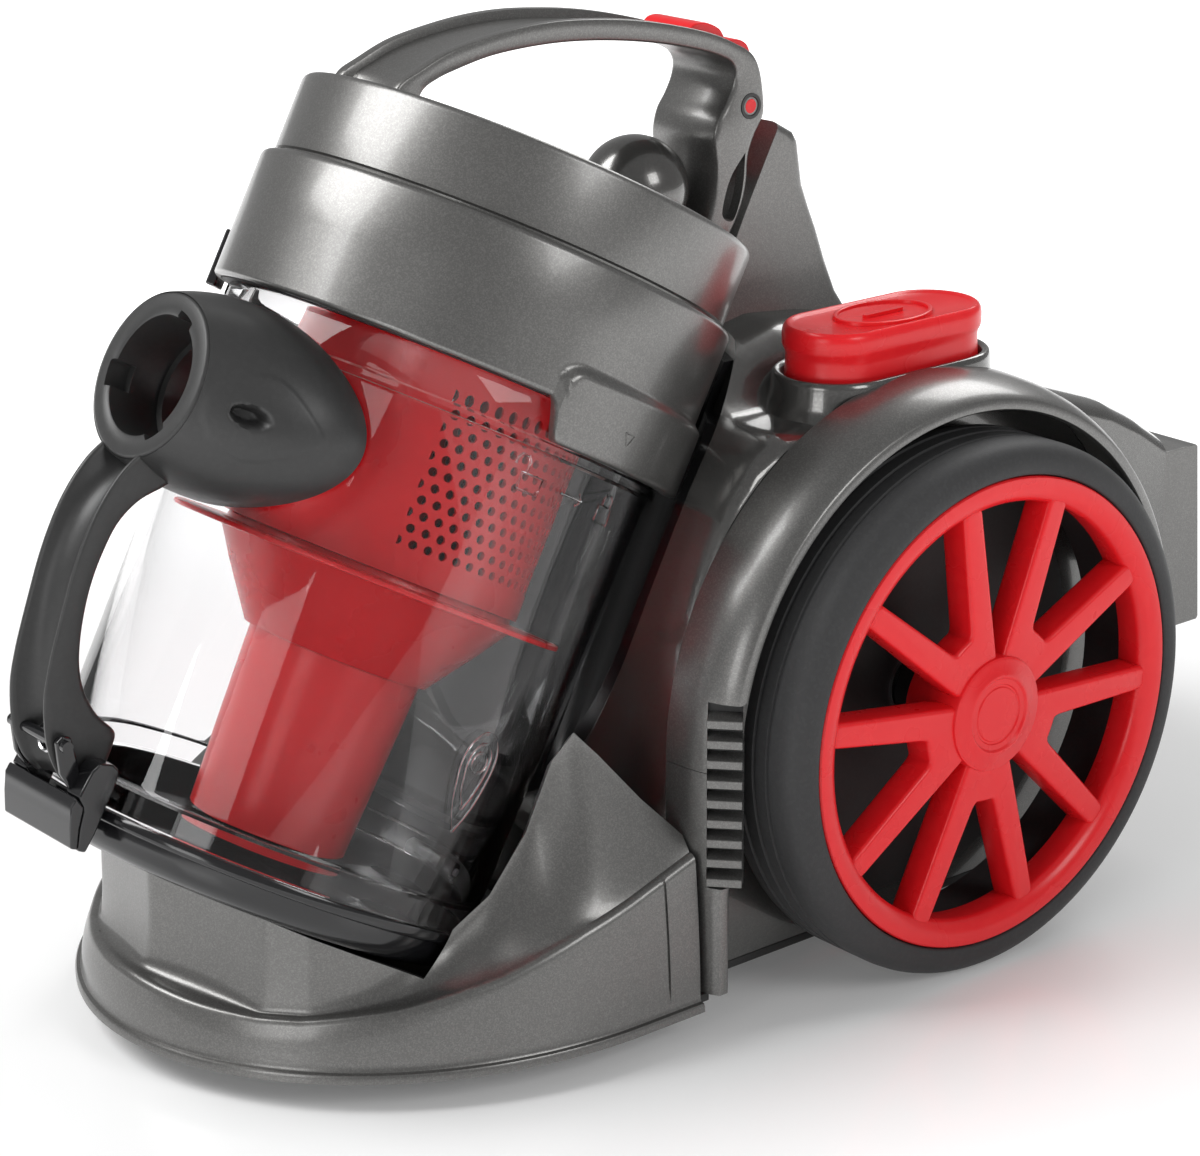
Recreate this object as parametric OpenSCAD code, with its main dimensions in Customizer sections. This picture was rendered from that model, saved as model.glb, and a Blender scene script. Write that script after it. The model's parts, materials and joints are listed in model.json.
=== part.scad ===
// Canister vacuum cleaner with a clear cyclone cup, two large spoked wheels and a front caster.
// Front is -Y, left is -X, the floor is z = 0. Everything is drawn about the wheel axle line
// (y = 0) and then moved along Y so that the origin is under the middle of the whole machine.

/* [Wheels] */
// Radius of the tyre
wheel_r = 95; // [90:1:98]
// Radius of the red hub cap
cap_r = 83.6; // [78:0.2:85]
// Width of the tyre
tyre_w = 37; // [30:1:38]
// Distance from the middle plane to the outer face of a tyre
track_half = 136; // [134:1:142]
// Number of spoke pairs in a hub cap
spoke_pairs = 5; // [4:1:6]
// Radius of the stub axle
axle_r = 6; // [4:0.5:8]
// Radius of the front caster wheel
caster_r = 13; // [12:0.5:13.5]

/* [Dust cup] */
// Backward lean of the cup's axis from upright
tilt = 29; // [26:0.5:31]
// Outer radius of the clear cup at its foot
cup_r = 76; // [72:0.5:78]
// Height of the clear cup along its own axis
cup_h = 172; // [165:1:176]
// Wall of the clear cup
cup_wall = 2.4; // [2:0.2:3]
// Radius of the bottom flap
flap_r = 80; // [78:0.5:81]
// Radius of the lid's upper step
lid_top_r = 80.7; // [78:0.1:81]
// Radius of the lid's lower step
lid_low_r = 84.3; // [82:0.1:85]
// Bore of the hose inlet
inlet_r = 20; // [17:0.5:21]
// Outer radius of the inlet mouth
mouth_r = 27.5; // [25:0.5:29]

/* [Cyclone] */
// Outer radius of the perforated shroud
shroud_r = 52; // [46:1:54]
// Outer radius of the skirt under the shroud
skirt_r = 69; // [64:1:71]
// Outer radius of the collecting tube
tube_r = 28; // [24:1:30]
// Columns of holes around the shroud
hole_columns = 32; // [16:1:36]

/* [Base] */
// Half width of the front skirt
base_half = 111; // [108:1:114]
// Length of the rounded nose, forward of its widest section
nose_len = 130; // [120:1:134]
// Height of the base's underside above the floor
ground = 10; // [8:1:12]
// General wall of the moulded shells
wall = 3; // [2.5:0.5:4]

/* [Pedals] */
// Length of a foot pedal
pedal_len = 80; // [70:1:84]
// Width of a foot pedal
pedal_w = 36; // [30:1:40]

/* [Hidden] */
$fn = 64;

// The machine reaches this far in front of and behind the axle line.
front_reach = 312.2;
rear_reach = 164;
axle_y = (front_reach - rear_reach) / 2;

cup_y = -214.7;
cup_z = 60;
widest_y = -140;
body_half = 92;
seat_r = 88;
socket_r = 82;
hinge_room = 32;
lid_low_s = 175;
lid_step_s = 220;
lid_top_s = 248;
inlet_s = 134.8;
mouth_y = -111.6;
pedal_x = 72;
pedal_y = 3;
pedal_top = 225;
collar_top = 208;
arch_r = 102.5;
arch_x = 118.5;
fender_front_y = -113.2;
hub_x = track_half - 6;
caster_y = -232;
caster_trail = 8;
caster_well = 24;
reel_y = 72;
reel_z = 66;
motor_y = -14;
motor_z = 112;
pin_y = 69.5;
pin_s = 300.4;
hinge_y = 82.6;
hinge_s = 4;
latch_y = -100;
latch_s = 17;
slip = 0.05;

grey = [0.42, 0.42, 0.41];
dark = [0.2, 0.2, 0.2];
black = [0.06, 0.06, 0.06];
red = [0.88, 0.08, 0.1];
steel = [0.7, 0.7, 0.72];
clear = [0.85, 0.87, 0.9, 0.35];

// Places its children: model frame with the axle line at y = axle_y.
module at_axle() translate([0, axle_y, 0]) children();

// The cup's frame: z runs up the cup's axis, -y is its front.
module on_cup() at_axle() translate([0, cup_y, cup_z]) rotate([-tilt, 0, 0]) children();

// A solid of revolution about the x direction. The profile is [radius, x] points, and
// the sweep starts straight down and turns towards the rear.
module about_x(profile, start = 0, sweep = 360)
    rotate([0, 90, 0]) rotate([0, 0, start]) rotate_extrude(angle = sweep, $fn = 96) polygon(profile);

module rod_x(r, x0, x1) translate([x0, 0, 0]) rotate([0, 90, 0]) cylinder(r = r, h = x1 - x0);

module ring(r_out, r_in, z0, z1) difference() {
    translate([0, 0, z0]) cylinder(r = r_out, h = z1 - z0, $fn = 96);
    translate([0, 0, z0 - 1]) cylinder(r = r_in, h = z1 - z0 + 2, $fn = 96);
}

// A side outline of [y, z] points, given its thickness from x0 to x1.
module slab_x(points, x0, x1)
    translate([x0, 0, 0]) rotate([90, 0, 90]) linear_extrude(x1 - x0) polygon(points);

// Straight-sided bar with round ends, made from exact pieces.
module stadium_bar(len, wide, h) {
    for (s = [-1, 1]) translate([0, s * (len - wide) / 2, 0]) cylinder(d = wide, h = h);
    translate([-wide / 2, -(len - wide) / 2, 0]) cube([wide, len - wide, h]);
}

// ---------------------------------------------------------------- base

// Plan outline: a half ellipse at the nose and straight sides back to the given y.
function base_outline(inset, back_y) = concat(
    [for (a = [0 : 5 : 180]) [(base_half - inset) * cos(a), widest_y - (nose_len - inset) * sin(a)]],
    [[-(base_half - inset), back_y], [base_half - inset, back_y]]);

module base_pan() color(dark) at_axle() difference() {
    union() {
        translate([0, 0, ground]) linear_extrude(wall) polygon(base_outline(5.2, -105.4));
        translate([-body_half, -106, ground]) cube([2 * body_half, 190, wall]);
        translate([0, 0, ground + wall - 0.5]) linear_extrude(5) difference() {
            polygon(base_outline(8, -116));
            polygon(base_outline(10, -120));
        }
        translate([0, caster_y, ground]) cylinder(r = caster_well + 2.5, h = 25);
        translate([0, caster_y, ground]) cylinder(r = 8, h = 34);
    }
    translate([0, caster_y, ground - 1]) cylinder(r = caster_well, h = 23);
    translate([0, caster_y, ground - 1]) cylinder(r = 4 + slip, h = 50);
    for (k = [-3 : 3]) translate([k * 14 - 4, 20, ground - 1]) cube([8, 60, 5]);
}

// Lower band of the skirt, whose top edge climbs towards the wheels.
module skirt_form(inset) intersection() {
    translate([0, 0, ground + wall]) linear_extrude(60) polygon(base_outline(inset, fender_front_y));
    slab_x([[-280, 0], [-280, 36 - inset], [-245, 29 - inset], [-215, 34 - inset],
            [-185, 43 - inset], [-150, 56 - inset], [-113, 65 - inset], [-113, 0]], -130, 130);
}

// Nose that carries the front of the cup.
module nose_form(inset) hull() {
    translate([0, 0, ground + wall]) linear_extrude(1) polygon([for (a = [30 : 10 : 150])
        [(base_half - 8 - inset) * cos(a), widest_y - (nose_len - 8 - inset) * sin(a)]]);
    translate([0, 0, 80 - inset]) linear_extrude(1) polygon([for (a = [46 : 11 : 134])
        [(base_half - 13 - inset) * cos(a), widest_y - (nose_len - 12 - inset) * sin(a)]]);
}

// Wing that rises beside the cup, up to the ridge in front of the wheel arch.
module wing_form(inset) hull() {
    translate([54, -205 + inset, ground + wall]) cube([base_half - 62 - inset, 90 - inset, 36 - inset]);
    translate([60, -152 + inset, 60]) cube([28 - inset, 24 - 2 * inset, 52 - inset]);
    translate([60, fender_front_y - 3.5, 40]) cube([45 - inset, 3, 31 - inset]);
}

// Space kept free for the cup and everything on it.
module cup_room(r, s0 = -13.4) translate([0, cup_y, cup_z]) rotate([-tilt, 0, 0])
    translate([0, 0, s0]) cylinder(r = r, h = 420, $fn = 96);

// Three-sided notch in the nose wall, to one side of the middle.
module nose_notch() rotate([0, 0, 14]) translate([-10, -250, 36]) rotate([90, 0, 0])
    linear_extrude(40) polygon([[14, 0], [40, 44], [-2, 44]]);

module nose_notch_floor() rotate([0, 0, 14]) translate([-18, -249, 30]) cube([56, wall, 52]);

module front_shell() color(grey) at_axle() difference() {
    union() {
        difference() {
            union() {
                skirt_form(0);
                nose_form(0);
                wing_form(0);
                mirror([1, 0, 0]) wing_form(0);
                translate([0, 0, ground + 0.5]) linear_extrude(3.5)
                    polygon(base_outline(-1.6, fender_front_y));
            }
            skirt_form(wall);
            nose_form(wall);
            translate([0, 0, ground - 1]) linear_extrude(wall + 12)
                polygon(base_outline(wall + 1.8, fender_front_y + 5));
            for (s = [0, 1]) mirror([s, 0, 0]) nose_notch();
        }
        for (s = [0, 1]) mirror([s, 0, 0]) intersection() {
            nose_notch_floor();
            nose_form(0);
        }
    }
    cup_room(socket_r);
    intersection() {
        cup_room(seat_r + 2);
        translate([-hinge_room, -300, 0]) cube([2 * hinge_room, 300, 300]);
    }
    translate([0, caster_y, 0]) cylinder(r = caster_well + 2.8, h = 46);
}

// ---------------------------------------------------------------- rear body

function side_low() = [[-112.8, 13.2], [-112.8, 72], [-103, 138], [-84, 178], [-60, 195], [56, 195],
                       [100, 178], [131, 159], [131, 76], [106, 32], [84, 13.2]];
function side_hump() = [[-100, 120], [-78, 192], [-50, 211], [-15, 217], [25, 211], [60, 200],
                        [100, 178], [131, 159], [131, 120]];
function side_dock() = [[131.2, 77], [131.2, 158.8], [158, 152], [164, 77.5]];

// The same outline drawn in by the wall all round.
function drawn_in(points, t) = [for (p = points)
    [p[0] + (p[0] > 10 ? -1.2 * t : t), p[1] + (p[1] > 90 ? -t : t)]];

module rear_shell() color(grey) at_axle() difference() {
    union() {
        slab_x(side_low(), -body_half, body_half);
        slab_x(side_hump(), -46, 46);
    }
    difference() {
        union() {
            slab_x(drawn_in(side_low(), wall), -body_half + wall, body_half - wall);
            slab_x(drawn_in(side_hump(), wall), -46 + wall, 46 - wall);
        }
        cup_room(seat_r + 2 * wall, -60);
    }
    cup_room(seat_r + wall + 0.1, -60);
    translate([0, 0, wheel_r]) rod_x(axle_r, -120, 120);
    for (s = [-1, 1]) translate([s * pedal_x, pedal_y, 150]) stadium_bar(pedal_len + 1, pedal_w + 1, 60);
}

// Curved wall that the cup leans against.
module cradle() color(black) at_axle() intersection() {
    difference() {
        cup_room(seat_r + wall, 0);
        cup_room(seat_r, -20);
        translate([0, -40, 178]) rotate([90, 0, 0]) cylinder(r = 16, h = 120);
    }
    union() {
        slab_x([[-112.6, 20], [-112.6, 70], [-102, 136], [-83, 176], [-62, 193], [60, 193], [60, 20]],
               -88, 88);
        slab_x([[-112.6, 20], [-99, 120], [-77, 190], [-49, 209], [60, 209], [60, 20]], -44, 44);
    }
}

// Fin behind the lid that the release catch locks into.
module spine_tower() color(grey) at_axle() difference() {
    hull() {
        slab_x([[-40, 285], [-2, 284.5], [14, 277], [17.7, 262], [22.8, 251], [-40, 251]], -17, 17);
        slab_x([[-70, 212.3], [-15, 217.2], [25, 212], [44, 206.5], [38, 215]], -24, 24);
    }
    cup_room(86, 100);
    translate([0, 0, 1]) intersection() {
        slab_x([[-70, 150], [-70, 270], [8, 270], [17, 248], [38, 205]], -14, 14);
        translate([-60, -80, 0]) cube([120, 200, 266]);
    }
    translate([0, 0, slip]) slab_x(side_hump(), -46, 46);
}

// Plan section of the arch where it runs straight down in front of the wheel.
function arch_plan(t) = [[92.3, fender_front_y + t], [106, -112.5 + t], [113.5 - t * 0.7, -109 + t],
                         [arch_x - t, -104.5 + t * 0.6], [arch_x - t, -50], [92.3, -50]];

module fender(s) color(grey) at_axle() mirror([s < 0 ? 1 : 0, 0, 0]) difference() {
    union() {
        translate([0, 0, wheel_r]) about_x([[arch_r, arch_x - 2], [arch_r, arch_x], [104.5, arch_x],
            [109, 113.5], [112.5, 106], [113, 92.3], [110, 92.3], [109.5, 105], [106.3, 111.5]], 100, 170);
        difference() {
            translate([0, 0, 16]) linear_extrude(wheel_r - 16) polygon(arch_plan(0));
            translate([0, 0, 12]) linear_extrude(wheel_r) polygon(arch_plan(wall));
            translate([0, 0, wheel_r]) rod_x(arch_r, 60, 140);
        }
        difference() {
            translate([0, 0, 16]) linear_extrude(wheel_r - 16) polygon(arch_plan(0));
            translate([0, 0, wheel_r]) rod_x(arch_r, 60, 140);
            translate([80, -200, 0]) cube([arch_x - wall - 80, 200, 200]);
        }
    }
    vent_place() translate([-5.6, -2, 56]) cube([11.2, 9, 66]);
    translate([60, -60, 190]) cube([34.6, 130, 40]);
}
module fender_left() fender(-1);
module fender_right() fender(1);

// Frame on the chamfered front corner of the arch: y runs inwards.
module vent_place() translate([112.2, -108.6, 0]) rotate([0, 0, 32.6]) children();

// Louvred insert in the front of a wheel arch.
module vent(s) color(dark) at_axle() mirror([s < 0 ? 1 : 0, 0, 0]) vent_place() difference() {
    translate([-5.5, 0.1, 56.1]) cube([11, 4, 65.8]);
    for (k = [0 : 8]) translate([-4.1, -1, 58.6 + k * 7]) rotate([20, 0, 0]) cube([8.2, 9, 3.6]);
}
module vent_left() vent(-1);
module vent_right() vent(1);

// Raised rim round a foot pedal.
module collar(s) color(grey) at_axle() difference() {
    translate([s * pedal_x, pedal_y, 195.2]) stadium_bar(pedal_len + 8, pedal_w + 8, collar_top - 195.2);
    translate([s * pedal_x, pedal_y, 190]) stadium_bar(pedal_len + 1, pedal_w + 1, 30);
    slab_x(side_hump(), -46.2, 46.2);
}
module collar_left() collar(-1);
module collar_right() collar(1);

// Rear block with the upright parking slot for the floor head.
module rear_dock() color(grey) at_axle() difference() {
    slab_x(side_dock(), -84, 84);
    slab_x([[131, 74], [131, 155.5], [155.2, 149], [160.5, 74]], -81, -26);
    slab_x([[131, 74], [131, 155.5], [155.2, 149], [160.5, 74]], 26, 81);
    translate([-14, 142, 70]) cube([28, 11, 100]);
    translate([-8, 150, 70]) cube([16, 20, 100]);
    translate([52, 180, 112]) rotate([90, 0, 0]) cylinder(r = 8 + slip, h = 40);
}

module skid_pads() color(black) at_axle() for (s = [-1, 1])
    translate([s * 62, -190, 7]) cylinder(r = 7, h = 3);

// ---------------------------------------------------------------- wheels

// Wheel frame: z points out of the car side, x to the rear and y up for the +X wheel.
module on_wheel(s) at_axle() translate([0, 0, wheel_r]) mirror([s < 0 ? 1 : 0, 0, 0])
    rotate([90, 0, 90]) children();

module tyre(s) color(dark) on_wheel(s) rotate_extrude($fn = 120) polygon([
    [cap_r - 3.8, track_half - tyre_w + 2], [wheel_r - 4, track_half - tyre_w],
    [wheel_r - 1, track_half - tyre_w + 2.5], [wheel_r, track_half - tyre_w + 6],
    [wheel_r, track_half - 10], [wheel_r - 1, track_half - 5], [wheel_r - 3.7, track_half - 1.6],
    [wheel_r - 7, track_half - 0.2], [cap_r + 0.5, track_half], [cap_r + 0.2, track_half - 7.2],
    [cap_r - 3.8, track_half - 7.2]]);
module tyre_left() tyre(-1);
module tyre_right() tyre(1);

module hubcap(s) color(red) on_wheel(s) difference() {
    union() {
        ring(cap_r, 74.5, hub_x - 0.5, hub_x + 5.7);
        ring(cap_r - 4, 75.5, hub_x - 24, hub_x);
        translate([0, 0, hub_x - 24]) cylinder(r = 20, h = 28.6);
        translate([0, 0, hub_x - 24]) cylinder(r = 14, h = 29.4);
        for (k = [0 : spoke_pairs - 1]) rotate([0, 0, 48 + k * 360 / spoke_pairs]) {
            for (half = [-1, 1]) rotate([0, 0, half * 20]) translate([16, -3.8, hub_x - 18])
                cube([61, 7.6, 22.8]);
            intersection() {
                ring(31, 18, hub_x - 18, hub_x + 3.4);
                rotate([0, 0, -20]) translate([0, 0, hub_x - 18]) linear_extrude(22)
                    polygon([[0, 0], [50, 0], [50 * cos(40), 50 * sin(40)]]);
            }
        }
    }
    translate([0, 0, hub_x - 30]) cylinder(r = 9, h = 28);
}
module hubcap_left() hubcap(-1);
module hubcap_right() hubcap(1);

module bush(s) color(black) on_wheel(s) difference() {
    translate([0, 0, hub_x - 32]) union() {
        cylinder(r = 9, h = 29.9);
        cylinder(r = 13, h = 7.5);
    }
    translate([0, 0, hub_x - 40]) cylinder(r = axle_r + slip, h = 36);
}
module bush_left() bush(-1);
module bush_right() bush(1);

module axle(s) color(steel) on_wheel(s) union() {
    translate([0, 0, 80]) cylinder(r = axle_r, h = hub_x - 5 - 80);
    translate([0, 0, 84]) cylinder(r = 12, h = 4.9);
    translate([0, 0, 92.1]) cylinder(r = 11, h = 2.4);
}
module axle_left() axle(-1);
module axle_right() axle(1);

module caster_fork() color(black) at_axle() translate([0, caster_y, 0]) difference() {
    union() {
        translate([0, 0, 28]) cylinder(r = 14, h = 3);
        translate([0, 0, 28]) cylinder(r = 4, h = 15.5);
        for (s = [-1, 1]) translate([s * 10 - 1.2, 0, 0]) {
            translate([0, caster_trail - 5, caster_r]) cube([2.4, 10, 29 - caster_r]);
            translate([0, caster_trail, caster_r]) rod_x(5, 0, 2.4);
        }
    }
    translate([0, caster_trail, caster_r]) rod_x(2, -20, 20);
}

module caster_wheel() color(dark) at_axle() translate([0, caster_y + caster_trail, caster_r]) difference() {
    about_x([[1, -7], [caster_r - 2, -8], [caster_r, -5.5], [caster_r, 5.5], [caster_r - 2, 8], [1, 7]]);
    rod_x(2 + slip, -20, 20);
}

module caster_axle() color(steel) at_axle() translate([0, caster_y + caster_trail, caster_r])
    rod_x(2, -11.4, 11.4);

// ---------------------------------------------------------------- pedals

// Foot pedal: a stadium block with a rolled top edge, a raised ring and a mark.
module pedal(s, bar) color(red) at_axle() translate([s * pedal_x, pedal_y, 0]) difference() {
    union() {
        translate([0, 0, 201]) stadium_bar(pedal_len, pedal_w, pedal_top - 205);
        translate([0, 0, pedal_top - 8]) stadium_bar(pedal_len + 1, pedal_w + 1, 5);
        translate([0, 0, pedal_top - 3.1]) stadium_bar(pedal_len - 3, pedal_w - 3, 2.2);
        translate([0, 0, pedal_top - 1.5]) ring(13.5, 12.5, 0, 1.5);
        translate([-bar / 2, -1, pedal_top - 1.5]) cube([bar, 2, 1.4]);
        if (bar < 5) translate([-1, -7.5, pedal_top - 1.5]) cube([2, 15, 1.4]);
    }
    translate([0, 0, 196]) stadium_bar(pedal_len - 8, pedal_w - 8, pedal_top - 203);
}
module power_pedal() pedal(1, 2);
module rewind_pedal() pedal(-1, 14);

module pedal_spring(s) color(steel) at_axle() translate([s * pedal_x, pedal_y, 0])
    ring(7, 5.5, 185.3, pedal_top - 7.3);
module pedal_spring_left() pedal_spring(-1);
module pedal_spring_right() pedal_spring(1);

// ---------------------------------------------------------------- inside the body

module motor_can() color(steel) at_axle() translate([0, motor_y, motor_z]) rotate([-90, 0, 0]) difference() {
    union() {
        translate([0, 0, -34]) cylinder(r = 44, h = 36);
        cylinder(r = 36, h = 50);
    }
    translate([0, 0, -32]) cylinder(r = 41.5, h = 32);
    translate([0, 0, -8]) cylinder(r = 33, h = 55);
    translate([0, 0, -50]) cylinder(r = 16, h = 40);
    translate([0, 0, 40]) cylinder(r = 4 + slip, h = 20);
}

module motor_cup() color(dark) at_axle() translate([0, motor_y, motor_z]) rotate([-90, 0, 0]) difference() {
    union() {
        translate([0, 0, -38]) cylinder(r1 = 45.5, r2 = 52, h = 4);
        translate([0, 0, -34]) cylinder(r = 52, h = 26);
    }
    translate([0, 0, -34.2]) cylinder(r = 49, h = 40);
    translate([0, 0, -60]) cylinder(r = 18, h = 60);
}

module motor_rotor() color("chocolate") at_axle() translate([0, motor_y, motor_z]) rotate([-90, 0, 0]) union() {
    translate([0, 0, -28]) cylinder(r = 4, h = 77);
    translate([0, 0, 6]) cylinder(r = 24, h = 28);
    translate([0, 0, -26]) cylinder(r = 39, h = 2);
    translate([0, 0, -14]) cylinder(r = 39, h = 1.6);
    for (k = [0 : 8]) rotate([0, 0, k * 40]) translate([12, -1, -25]) cube([26, 2, 12]);
}

module motor_seal() color(black) at_axle() translate([0, motor_y, motor_z]) rotate([-90, 0, 0])
    ring(49, 44.2, -30, -12);

module exhaust_filter() color("white") at_axle() difference() {
    translate([-60, 68, 128]) cube([120, 44, 22]);
    for (k = [-9 : 9]) translate([k * 6 - 1.5, 70, 130]) cube([3, 40, 30]);
}

module circuit_board() color("darkgreen") at_axle() union() {
    translate([44, -30, 140]) cube([2, 70, 40]);
    translate([46, -20, 150]) cube([13, 18, 18]);
    translate([46, 10, 150]) cube([8, 12, 12]);
}

module power_switch() color(black) at_axle() translate([pedal_x, pedal_y, 0]) {
    translate([-11, -14, 160]) cube([22, 28, 25]);
    for (s = [-1, 1]) translate([-1, s * 8 - 3, 152]) cube([2, 6, 8]);
}

module cable_reel() color(dark) at_axle() translate([0, reel_y, reel_z]) difference() {
    union() {
        rod_x(22, -30, 30);
        rod_x(37, -32, -30);
        rod_x(37, 30, 32);
    }
    rod_x(5 + slip, -40, 40);
}

module reel_axle() color(steel) at_axle() translate([0, reel_y, reel_z]) union() {
    rod_x(5, -52, 52);
    for (s = [-1, 1]) translate([s * 50 - 2, -18, 16.3 - reel_z]) cube([4, 26, reel_z - 16.3]);
}

module cable_gland() color(black) at_axle() translate([52, 152, 112]) rotate([-90, 0, 0]) difference() {
    cylinder(r = 8, h = 12);
    translate([0, 0, -1]) cylinder(r = 4, h = 30);
}

// ---------------------------------------------------------------- cup

module cup() color(clear) on_cup() difference() {
    union() {
        translate([0, 0, 2.5]) cylinder(r1 = cup_r, r2 = cup_r + 2.6, h = cup_h, $fn = 96);
        ring(79, cup_r - 1, 2.5, 11.6);
        ring(80.4, cup_r, 158, 161);
        for (k = [0 : 3]) rotate([0, 0, 45 + k * 90]) translate([-7, -80.6, 165]) cube([14, 6, 4]);
        translate([0, hinge_y, hinge_s]) rod_x(3.4, -7.7, 7.7);
        translate([-7.7, 76, 2.5]) cube([15.4, hinge_y - 76, 4.9]);
    }
    translate([0, hinge_y, hinge_s]) rod_x(1.5, -30, 30);
    translate([0, 0, 2]) cylinder(r1 = cup_r - cup_wall, r2 = cup_r + 2.6 - cup_wall, h = cup_h + 1, $fn = 96);
    translate([0, -50, inlet_s]) rotate([90, 0, 0]) cylinder(r = inlet_r + 2, h = 60);
}

// The horn's outer form, grown all round by a little.
module horn_form(grow) hull() {
    translate([0, mouth_y, inlet_s]) rotate([-90, 0, 0]) cylinder(r = mouth_r + grow, h = 3, $fn = 48);
    translate([12, -66, inlet_s + 2]) scale([44 + grow, 27 + grow, 34 + grow]) sphere(r = 1, $fn = 32);
    translate([-14, -68, inlet_s + 2]) scale([34 + grow, 24 + grow, 32 + grow]) sphere(r = 1, $fn = 24);
}

// Bulb-shaped inlet whose mouth takes the hose end.
module inlet_horn() color(dark) on_cup() difference() {
    horn_form(0);
    translate([0, 0, 60]) cylinder(r = 79.2, h = 150, $fn = 96);
    translate([0, 0, 157.8]) cylinder(r = 80.6, h = 3.6, $fn = 96);
    translate([0, mouth_y - 1, inlet_s]) rotate([-90, 0, 0]) cylinder(r = inlet_r, h = 60);
    for (k = [0 : 2]) rotate_about_inlet(k * 120 + 40)
        translate([inlet_r - 1, mouth_y - 1, -4]) cube([3.4, 9, 8]);
    translate([25, -96, inlet_s]) rotate([0, 65, -25]) cylinder(r = 4, h = 20);
}
module rotate_about_inlet(a) translate([0, 0, inlet_s]) rotate([0, a, 0]) children();

module inlet_seal() color(black) on_cup() translate([0, -74, inlet_s]) rotate([90, 0, 0])
    ring(inlet_r + 1.9, inlet_r + 0.1, -1, 2);

// Grip in front of the cup, from the horn down to the foot.
module cup_handle() color(dark) on_cup() difference() {
    union() {
        slab_x([[-92, 118], [-110, 112], [-120, 105], [-126, 94], [-124, 68], [-117, 38], [-113, 22],
                [-109, 4], [-100, 2], [-97, 8], [-90, 12], [-79.4, 13], [-79.4, 24], [-88, 27],
                [-93, 33], [-97.5, 49], [-98.5, 73], [-95, 95], [-88, 106]], -8, 8);
        for (s = [-1, 1]) translate([s * 9.5 - 1.5, 0, 0])
            slab_x([[-106, 110], [-120, 105], [-126, 94], [-124, 68], [-117, 38], [-113, 28],
                    [-107, 28], [-111, 42], [-117, 70], [-118, 92], [-108, 102]], 0, 3);
    }
    translate([0, 0, 60]) cylinder(r = 79.2, h = 150, $fn = 96);
    translate([0, mouth_y + 1, inlet_s]) rotate([90, 0, 0]) cylinder(r = mouth_r + 0.3, h = 40);
    horn_form(0.2);
    translate([0, latch_y, latch_s]) rod_x(2, -20, 20);
    translate([0, -104, 70]) rotate([90, 0, 0]) cylinder(r = 3.2, h = 30);
}
module handle_screw() color(steel) on_cup() translate([0, -104.2, 70]) rotate([90, 0, 0]) difference() {
    cylinder(r = 3.1, h = 4);
    translate([-0.6, -2.4, 3]) cube([1.2, 4.8, 2]);
}

// Lever under the grip whose claws hold the bottom flap shut.
module flap_latch() color(black) on_cup() difference() {
    union() {
        for (s = [-1, 1]) translate([s * 14 - 2, 0, 0])
            slab_x([[-104, 15], [-104, 21], [-96, 23], [-90, 17], [-85.5, 0], [-80.4, -6], [-80.4, -13],
                    [-84, -15.4], [-88, -15.4], [-92, -6], [-98, 10]], 0, 4);
        slab_x([[-99, 2], [-105, 0], [-107, -8], [-102, -13], [-88, -15.4], [-88, -12], [-98, -8]], -16, 16);
    }
    translate([0, latch_y, latch_s]) rod_x(2 + slip, -20, 20);
}

module latch_pin() color(steel) on_cup() translate([0, latch_y, latch_s]) rod_x(2, -17, 17);

module bottom_flap() color(black) on_cup() difference() {
    union() {
        translate([0, 0, -12]) cylinder(r = flap_r, h = 14.2, $fn = 96);
        for (s = [-1, 1]) translate([s * 12 - 4, 74, -2]) cube([8, hinge_y - 74, 4.2]);
        for (s = [-1, 1]) translate([s * 12 - 4, 79.3, 0]) cube([8, hinge_y - 79.3, hinge_s]);
        for (s = [-1, 1]) translate([s * 12, hinge_y, hinge_s]) rod_x(3.4, -4, 4);
    }
    translate([0, 0, -9]) cylinder(r = 72.6, h = 20, $fn = 96);
    ring(76.6, 74.4, 0, 3);
    translate([-8, 78.4, -2]) cube([16, 12, 12]);
    translate([0, hinge_y, hinge_s]) rod_x(1.5 + slip, -30, 30);
    rotate([tilt, 0, 0]) translate([-100, -60, -84 - 41]) cube([200, 240, 84]);
}

module flap_seal() color("dimgray") on_cup() ring(76.5, 74.5, 0.1, 2.4);

module flap_hinge_pin() color(steel) on_cup() translate([0, hinge_y, hinge_s]) rod_x(1.5, -18, 18);

// ---------------------------------------------------------------- lid

module sector(a0, a1, r) linear_extrude(60) polygon(concat([[0, 0]],
    [for (k = [0 : 6]) let (a = a0 + (a1 - a0) * k / 6) [r * sin(a), -r * cos(a)]]));

module lid_ring() color(grey) on_cup() difference() {
    union() {
        translate([0, 0, lid_low_s]) cylinder(r = lid_low_r, h = lid_step_s - lid_low_s, $fn = 96);
        intersection() {
            translate([0, 0, 161.6]) cylinder(r = lid_low_r + 2.6, h = 27, $fn = 96);
            translate([0, 0, 150]) union() {
                sector(74, 140, 130);
                rotate([0, 0, 180]) sector(74, 118, 130);
            }
        }
    }
    translate([0, 0, 150]) cylinder(r = 81.3, h = 66, $fn = 96);
    translate([0, 0, 210]) cylinder(r = 60, h = 20);
}

module lid_cap() color(grey) on_cup() difference() {
    translate([0, 0, lid_step_s + 0.1]) cylinder(r = lid_top_r, h = lid_top_s - lid_step_s - 0.1, $fn = 96);
    translate([0, 0, lid_top_s - 3]) cylinder(r = lid_top_r - 3, h = 10, $fn = 96);
    translate([0, 0, lid_step_s - 1]) cylinder(r = lid_top_r - 3, h = 21, $fn = 96);
}

module lid_gasket() color("dimgray") on_cup() ring(81.2, 74, 174.7, 178);

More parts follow.
